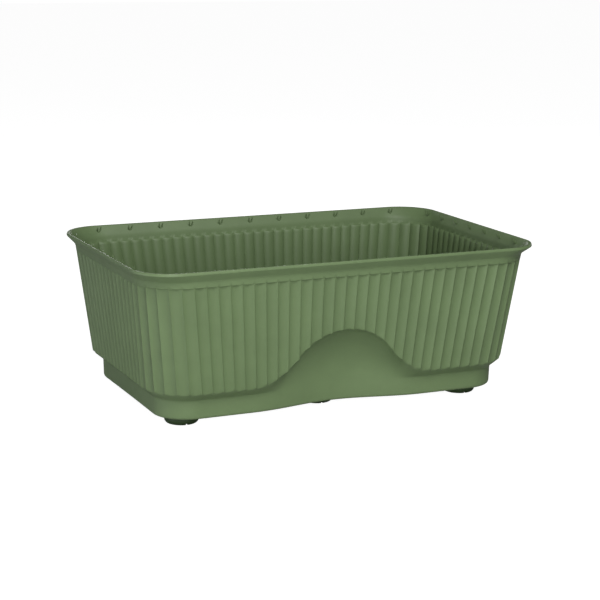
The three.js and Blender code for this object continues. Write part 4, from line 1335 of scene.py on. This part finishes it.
def make_gauge_cap():
    """The lid of the sleeve."""
    low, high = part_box("gauge_cap")
    reach = (high.x - low.x) / 2
    sleeve_low, sleeve_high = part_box("gauge_sleeve")
    bore = (sleeve_high.x - sleeve_low.x) / 2 - COLLAR_WIDTH - SLEEVE_WALL
    plug = bore - PLUG_CLEARANCE
    seat = sleeve_high.z
    outline = [
        (0, low.z), (plug, low.z), (plug, seat), (reach, seat), (reach, seat + GAUGE_LID_EDGE),
        (reach - GAUGE_LID_EDGE, high.z), (GAUGE_DIMPLE, high.z),
        (GAUGE_DIMPLE_FLOOR, high.z - GAUGE_DIMPLE_DEPTH), (0, high.z - GAUGE_DIMPLE_DEPTH),
    ]
    cap = turned_piece("level_lid", outline, 64, middle("gauge_cap"), 0.5 * MM)
    finish_piece(cap, material_for("deep_green_plastic"), BODY, "deep_green_plastic",
                 "gauge_cap")


def make_float():
    """The foam float, its rod and the coloured flag on top."""
    low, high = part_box("gauge_float")
    rod_low, rod_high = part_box("gauge_rod")
    flag_low, flag_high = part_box("gauge_flag")
    centre = middle("gauge_float")
    radius = (high.x - low.x) / 2
    rod = (rod_high.x - rod_low.x) / 2
    hole = rod + ROD_FIT
    edge = FLOAT_EDGE
    ring = [
        (hole, low.z), (radius - edge, low.z), (radius, low.z + edge), (radius, high.z - edge),
        (radius - edge, high.z), (hole, high.z), (hole, low.z),
    ]
    foam = turned_piece("foam_float", ring, 72, centre, 1.2 * MM)
    finish_piece(foam, material_for("float_white"), "float", "float_white", "gauge_float")
    stem = [(0, rod_low.z), (rod, rod_low.z), (rod, rod_high.z), (0, rod_high.z)]
    stick = turned_piece("float_rod", stem, 24, centre, 0.4 * MM)
    finish_piece(stick, material_for("float_white"), "float", "float_white", "gauge_rod")
    wide = (flag_high.x - flag_low.x) / 2
    socket = rod_high.z + ROD_FIT
    marker = [
        (hole, flag_low.z), (wide, flag_low.z), (wide, flag_high.z - FLAG_EDGE),
        (wide - FLAG_EDGE, flag_high.z), (0, flag_high.z), (0, socket), (hole, socket),
        (hole, flag_low.z),
    ]
    bm = bmesh.new()
    add_turned(bm, [*softened(marker[:5], 0.6 * MM), *marker[5:]], 48, centre)
    flag = object_of("level_flag", mesh_of("level_flag", bm))
    finish_piece(flag, material_for("marker_red"), "float", "marker_red", "gauge_flag")


# ---------------------------------------------------------------- overflow and feet

OVERFLOW_RADIUS = 8 * MM
OVERFLOW_WALL = 2 * MM
OVERFLOW_FLANGE_HEIGHT = 2.5 * MM


def make_overflow():
    """The overflow pipe through the floor, with its flange and sealing ring."""
    low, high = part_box("overflow_pipe")
    seal_low, seal_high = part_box("overflow_seal")
    centre = middle("overflow_pipe")
    flange = (high.x - low.x) / 2
    radius = OVERFLOW_RADIUS
    bore = radius - OVERFLOW_WALL
    step = seal_high.z + OVERFLOW_FLANGE_HEIGHT
    outline = [
        (bore, low.z), (radius, low.z), (radius, seal_high.z), (flange, seal_high.z),
        (flange, step), (radius, step), (radius, high.z), (bore, high.z), (bore, low.z),
    ]
    pipe = turned_piece("overflow_tube", outline, 48, centre, 0.6 * MM)
    finish_piece(pipe, material_for("deep_green_plastic"), BODY, "deep_green_plastic",
                 "overflow_pipe")
    outer = (seal_high.x - seal_low.x) / 2
    add_seal("overflow_ring", centre, radius + PLUG_CLEARANCE, outer, seal_low.z, seal_high.z,
             BODY, "overflow_seal")


def add_seal(name, centre, inner, outer, low, high, body, node):
    """A flat rubber ring with rounded edges."""
    outline = [(inner, low), (outer, low), (outer, high), (inner, high), (inner, low)]
    seal = turned_piece(name, outline, 64, centre, 0.5 * MM)
    finish_piece(seal, material_for("seal_rubber"), body, "seal_rubber", node)


FOOT_FLAT = 19 * MM
FOOT_SHOULDER = 7 * MM
NECK_RADIUS = 12 * MM
LUG_LENGTH = 4.5 * MM
LUG_WIDTH = 8 * MM
LUG_HEIGHT = 3 * MM
COIN_SLOT_WIDTH = 3.6 * MM
COIN_SLOT_DEPTH = 3.2 * MM
FOOT_GAP = 0.5 * MM
SEAL_FROM_NECK = 2.6 * MM
LUG_ROOT = 2 * MM
FOOT_STEPS = 8


def make_foot(number):
    """A plug foot: a domed disc with a coin slot, a neck and two locking lugs."""
    node = f"foot_{number}"
    low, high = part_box(node)
    seal_low, seal_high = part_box(f"foot_seal_{number}")
    centre = middle(node)
    radius = (high.x - low.x) / 2
    seal_outer = (seal_high.x - seal_low.x) / 2
    seal_inner = NECK_RADIUS + SEAL_FROM_NECK
    top = UNDERSIDE - FOOT_GAP
    lug_low = high.z - LUG_HEIGHT
    dome = []
    for k in range(FOOT_STEPS + 1):
        angle = math.pi / 2 * k / FOOT_STEPS
        dome.append((FOOT_FLAT + (radius - FOOT_FLAT) * math.sin(angle),
                     FOOT_SHOULDER * (1 - math.cos(angle))))
    upper = softened([
        (radius, FOOT_SHOULDER), (radius, top), (seal_outer + PLUG_CLEARANCE, top),
        (seal_outer + PLUG_CLEARANCE, seal_low.z), (seal_inner - PLUG_CLEARANCE, seal_low.z),
        (seal_inner - PLUG_CLEARANCE, top), (NECK_RADIUS, top), (NECK_RADIUS, high.z),
        (0, high.z),
    ], 0.6 * MM)
    bm = bmesh.new()
    add_turned(bm, [(0, low.z), *dome, *upper[1:]], 80, centre)
    foot = object_of(f"plug_foot_{number}", mesh_of(f"plug_foot_{number}", bm))
    slot = bmesh.new()
    add_block(slot, (centre.x - COIN_SLOT_WIDTH / 2, centre.y - 2 * radius, low.z - OVERRUN),
              (centre.x + COIN_SLOT_WIDTH / 2, centre.y + 2 * radius, low.z + COIN_SLOT_DEPTH))
    cut(foot, slot)
    bm = bmesh.new()
    bm.from_mesh(foot.data)
    reach = NECK_RADIUS + LUG_LENGTH
    for side in (-1, 1):
        ends = sorted((centre.x + side * (NECK_RADIUS - LUG_ROOT), centre.x + side * reach))
        add_block(bm, (ends[0], centre.y - LUG_WIDTH / 2, lug_low),
                  (ends[1], centre.y + LUG_WIDTH / 2, high.z), 0.5 * MM)
    bm.to_mesh(foot.data)
    bm.free()
    body = f"plug_{number}"
    finish_piece(foot, material_for("deep_green_plastic"), body, "deep_green_plastic", node)
    add_seal(f"foot_ring_{number}", centre, seal_inner, seal_outer, seal_low.z, seal_high.z,
             body, f"foot_seal_{number}")


# ---------------------------------------------------------------- stage

VIEW_AZIMUTH = -24.455
VIEW_ELEVATION = 12.412
VIEW_ROLL = 0.629
VIEW_DISTANCE = 2.468
VIEW_TARGET = Vector((0.005676, 0.0, 0.130896))
LENS = 101.96
SENSOR = 36.0


def make_camera():
    """The camera, turned a little about the line it looks along."""
    azimuth, elevation = math.radians(VIEW_AZIMUTH), math.radians(VIEW_ELEVATION)
    back = Vector((math.sin(azimuth) * math.cos(elevation),
                   -math.cos(azimuth) * math.cos(elevation), math.sin(elevation)))
    right = (-back).cross(Vector((0, 0, 1))).normalized()
    up = right.cross(-back)
    roll = math.radians(VIEW_ROLL)
    turned_right = right * math.cos(roll) + up * math.sin(roll)
    turned_up = up * math.cos(roll) - right * math.sin(roll)
    frame_matrix = Matrix((turned_right, turned_up, back)).transposed().to_4x4()
    frame_matrix.translation = VIEW_TARGET + back * VIEW_DISTANCE
    data = bpy.data.cameras.new("camera")
    data.lens = LENS
    data.sensor_width = SENSOR
    data.clip_start = 0.1
    data.clip_end = 50.0
    camera = bpy.data.objects.new("camera", data)
    camera.matrix_world = frame_matrix
    bpy.context.scene.collection.objects.link(camera)
    bpy.context.scene.camera = camera


def make_light(name, place, target, size, power, tone):
    """A soft rectangular light aimed at a point."""
    data = bpy.data.lights.new(name, "AREA")
    data.shape = "RECTANGLE"
    data.size, data.size_y = size
    data.energy = power
    data.color = tone
    light = bpy.data.objects.new(name, data)
    aim = (Vector(target) - Vector(place)).to_track_quat("-Z", "Y")
    light.matrix_world = Matrix.Translation(place) @ aim.to_matrix().to_4x4()
    bpy.context.scene.collection.objects.link(light)


LIGHT_AIM = Vector((0.0, 0.0, 0.1))
LIGHTS = (
    ("front", (-0.2, -2.0, 2.4), (2.0, 1.2), 48.0, (1.0, 1.0, 1.0)),
    ("front_low", (-0.6, -1.7, 0.42), (1.0, 0.5), 11.5, (1.0, 1.0, 1.0)),
    ("left", (-3.0, -0.3, 0.15), (1.4, 0.5), 21.0, (0.97, 0.95, 1.10)),
    ("left_back", (-2.6, 1.6, 0.3), (1.4, 0.5), 5.0, (0.97, 0.95, 1.10)),
    ("right", (2.6, 1.6, 0.4), (1.4, 0.5), 8.0, (1.0, 1.0, 1.0)),
    ("back", (0.5, 3.0, 0.4), (2.0, 0.7), 22.0, (1.0, 1.0, 1.0)),
)
ROOM_LIGHT = 0.03
FLOOR_GLOW = 0.96


def make_floor():
    """The pale floor, which looks brighter to the camera than the light it sends back."""
    material, t, principled = shader("stage_floor")
    t.link(tint(t, (0.45, 0.45, 0.45), noise(t, 1.5, 2.0), 0.98, 1.0),
           principled.inputs["Base Color"])
    principled.inputs["Roughness"].default_value = 0.9
    principled.inputs["Specular IOR Level"].default_value = 0.0
    principled.inputs["Emission Color"].default_value = (1.0, 1.0, 1.0, 1.0)
    path = t.node("ShaderNodeLightPath")
    glow = t.math("MULTIPLY", path.outputs["Is Camera Ray"], FLOOR_GLOW)
    t.link(glow, principled.inputs["Emission Strength"])
    bm = bmesh.new()
    bmesh.ops.create_grid(bm, x_segments=1, y_segments=1, size=12.0)
    floor = object_of("stage_floor", mesh_of("stage_floor", bm))
    floor.data.materials.append(material)


def make_room():
    """A white room that lights the planter less brightly than it looks."""
    world = bpy.data.worlds.new("studio")
    world.use_nodes = True
    t = Tree(world.node_tree)
    background = world.node_tree.nodes["Background"]
    background.inputs["Color"].default_value = (1.0, 1.0, 1.0, 1.0)
    path = t.node("ShaderNodeLightPath")
    seen = t.math("MULTIPLY", path.outputs["Is Camera Ray"], 1.0 - ROOM_LIGHT)
    t.link(t.math("ADD", seen, ROOM_LIGHT), background.inputs["Strength"])
    bpy.context.scene.world = world
    bpy.context.scene.view_settings.view_transform = "Standard"


def make_stage():
    """A pale floor, a bright room, soft lights and the camera."""
    make_floor()
    make_room()
    for name, place, size, power, tone in LIGHTS:
        make_light(name, place, LIGHT_AIM, size, power, tone)
    make_camera()


# ---------------------------------------------------------------- add-on

class PLANTER_OT_trough(bpy.types.Operator):
    """Builds the fluted trough with its tie hooks"""
    bl_idname = "planter.trough"
    bl_label = "Trough"

    def execute(self, context):
        make_trough(context.scene.planter)
        return {"FINISHED"}


class PLANTER_OT_plate(bpy.types.Operator):
    """Builds the reservoir plate"""
    bl_idname = "planter.plate"
    bl_label = "Reservoir Plate"

    def execute(self, context):
        make_plate(context.scene.planter)
        return {"FINISHED"}


class PLANTER_OT_cups(bpy.types.Operator):
    """Builds the four wicking cups"""
    bl_idname = "planter.cups"
    bl_label = "Wicking Cups"

    def execute(self, context):
        for number in range(1, CUPS + 1):
            make_cup(context.scene.planter, number)
        return {"FINISHED"}


class PLANTER_OT_filler(bpy.types.Operator):
    """Builds the filler tube with its hinged cap"""
    bl_idname = "planter.filler"
    bl_label = "Filler"

    def execute(self, context):
        make_filler_tube(context.scene.planter)
        make_filler_cap(context.scene.planter)
        make_hinge_pin()
        return {"FINISHED"}


class PLANTER_OT_gauge(bpy.types.Operator):
    """Builds the water level indicator"""
    bl_idname = "planter.gauge"
    bl_label = "Level Indicator"

    def execute(self, context):
        make_gauge_sleeve(context.scene.planter)
        make_gauge_cap()
        make_float()
        return {"FINISHED"}


class PLANTER_OT_overflow(bpy.types.Operator):
    """Builds the overflow pipe and its seal"""
    bl_idname = "planter.overflow"
    bl_label = "Overflow"

    def execute(self, context):
        make_overflow()
        return {"FINISHED"}


class PLANTER_OT_feet(bpy.types.Operator):
    """Builds the six plug feet and their seals"""
    bl_idname = "planter.feet"
    bl_label = "Feet"

    def execute(self, context):
        for number in range(1, FEET + 1):
            make_foot(number)
        return {"FINISHED"}


class PLANTER_OT_stage(bpy.types.Operator):
    """Sets up the floor, the light and the camera"""
    bl_idname = "planter.stage"
    bl_label = "Stage"

    def execute(self, context):
        make_stage()
        return {"FINISHED"}


OPERATORS = (
    PLANTER_OT_trough,
    PLANTER_OT_plate,
    PLANTER_OT_cups,
    PLANTER_OT_filler,
    PLANTER_OT_gauge,
    PLANTER_OT_overflow,
    PLANTER_OT_feet,
    PLANTER_OT_stage,
)


class PLANTER_PT_panel(bpy.types.Panel):
    """Lists the planter's settings and its operators"""
    bl_label = "Self Watering Planter"
    bl_idname = "PLANTER_PT_panel"
    bl_space_type = "VIEW_3D"
    bl_region_type = "UI"
    bl_category = "Planter"

    def draw(self, context):
        settings = context.scene.planter
        groups = (
            ("Trough", settings.trough), ("Flutes", settings.flute), ("Hooks", settings.hook),
            ("Inside", settings.inner), ("Finishes", settings.finish),
        )
        for label, group in groups:
            box = self.layout.box()
            box.label(text=label)
            for name in group.__annotations__:
                box.prop(group, name)
        for operator in OPERATORS:
            self.layout.operator(operator.bl_idname)


CLASSES = (
    TroughSizes,
    FluteSizes,
    HookSizes,
    InnerSizes,
    Finishes,
    PlanterSettings,
    *OPERATORS,
    PLANTER_PT_panel,
)


def register():
    """Makes the settings, the operators and the panel known."""
    for cls in CLASSES:
        bpy.utils.register_class(cls)
    bpy.types.Scene.planter = bpy.props.PointerProperty(
        type=PlanterSettings, name="Planter", description="Settings of the planter")


def unregister():
    """Takes them away again."""
    del bpy.types.Scene.planter
    for cls in reversed(CLASSES):
        bpy.utils.unregister_class(cls)


def main():
    """Builds the planter and its stage."""
    register()
    bpy.ops.planter.trough()
    bpy.ops.planter.plate()
    bpy.ops.planter.cups()
    bpy.ops.planter.filler()
    bpy.ops.planter.gauge()
    bpy.ops.planter.overflow()
    bpy.ops.planter.feet()
    bpy.ops.planter.stage()


if __name__ == "__main__":
    main()
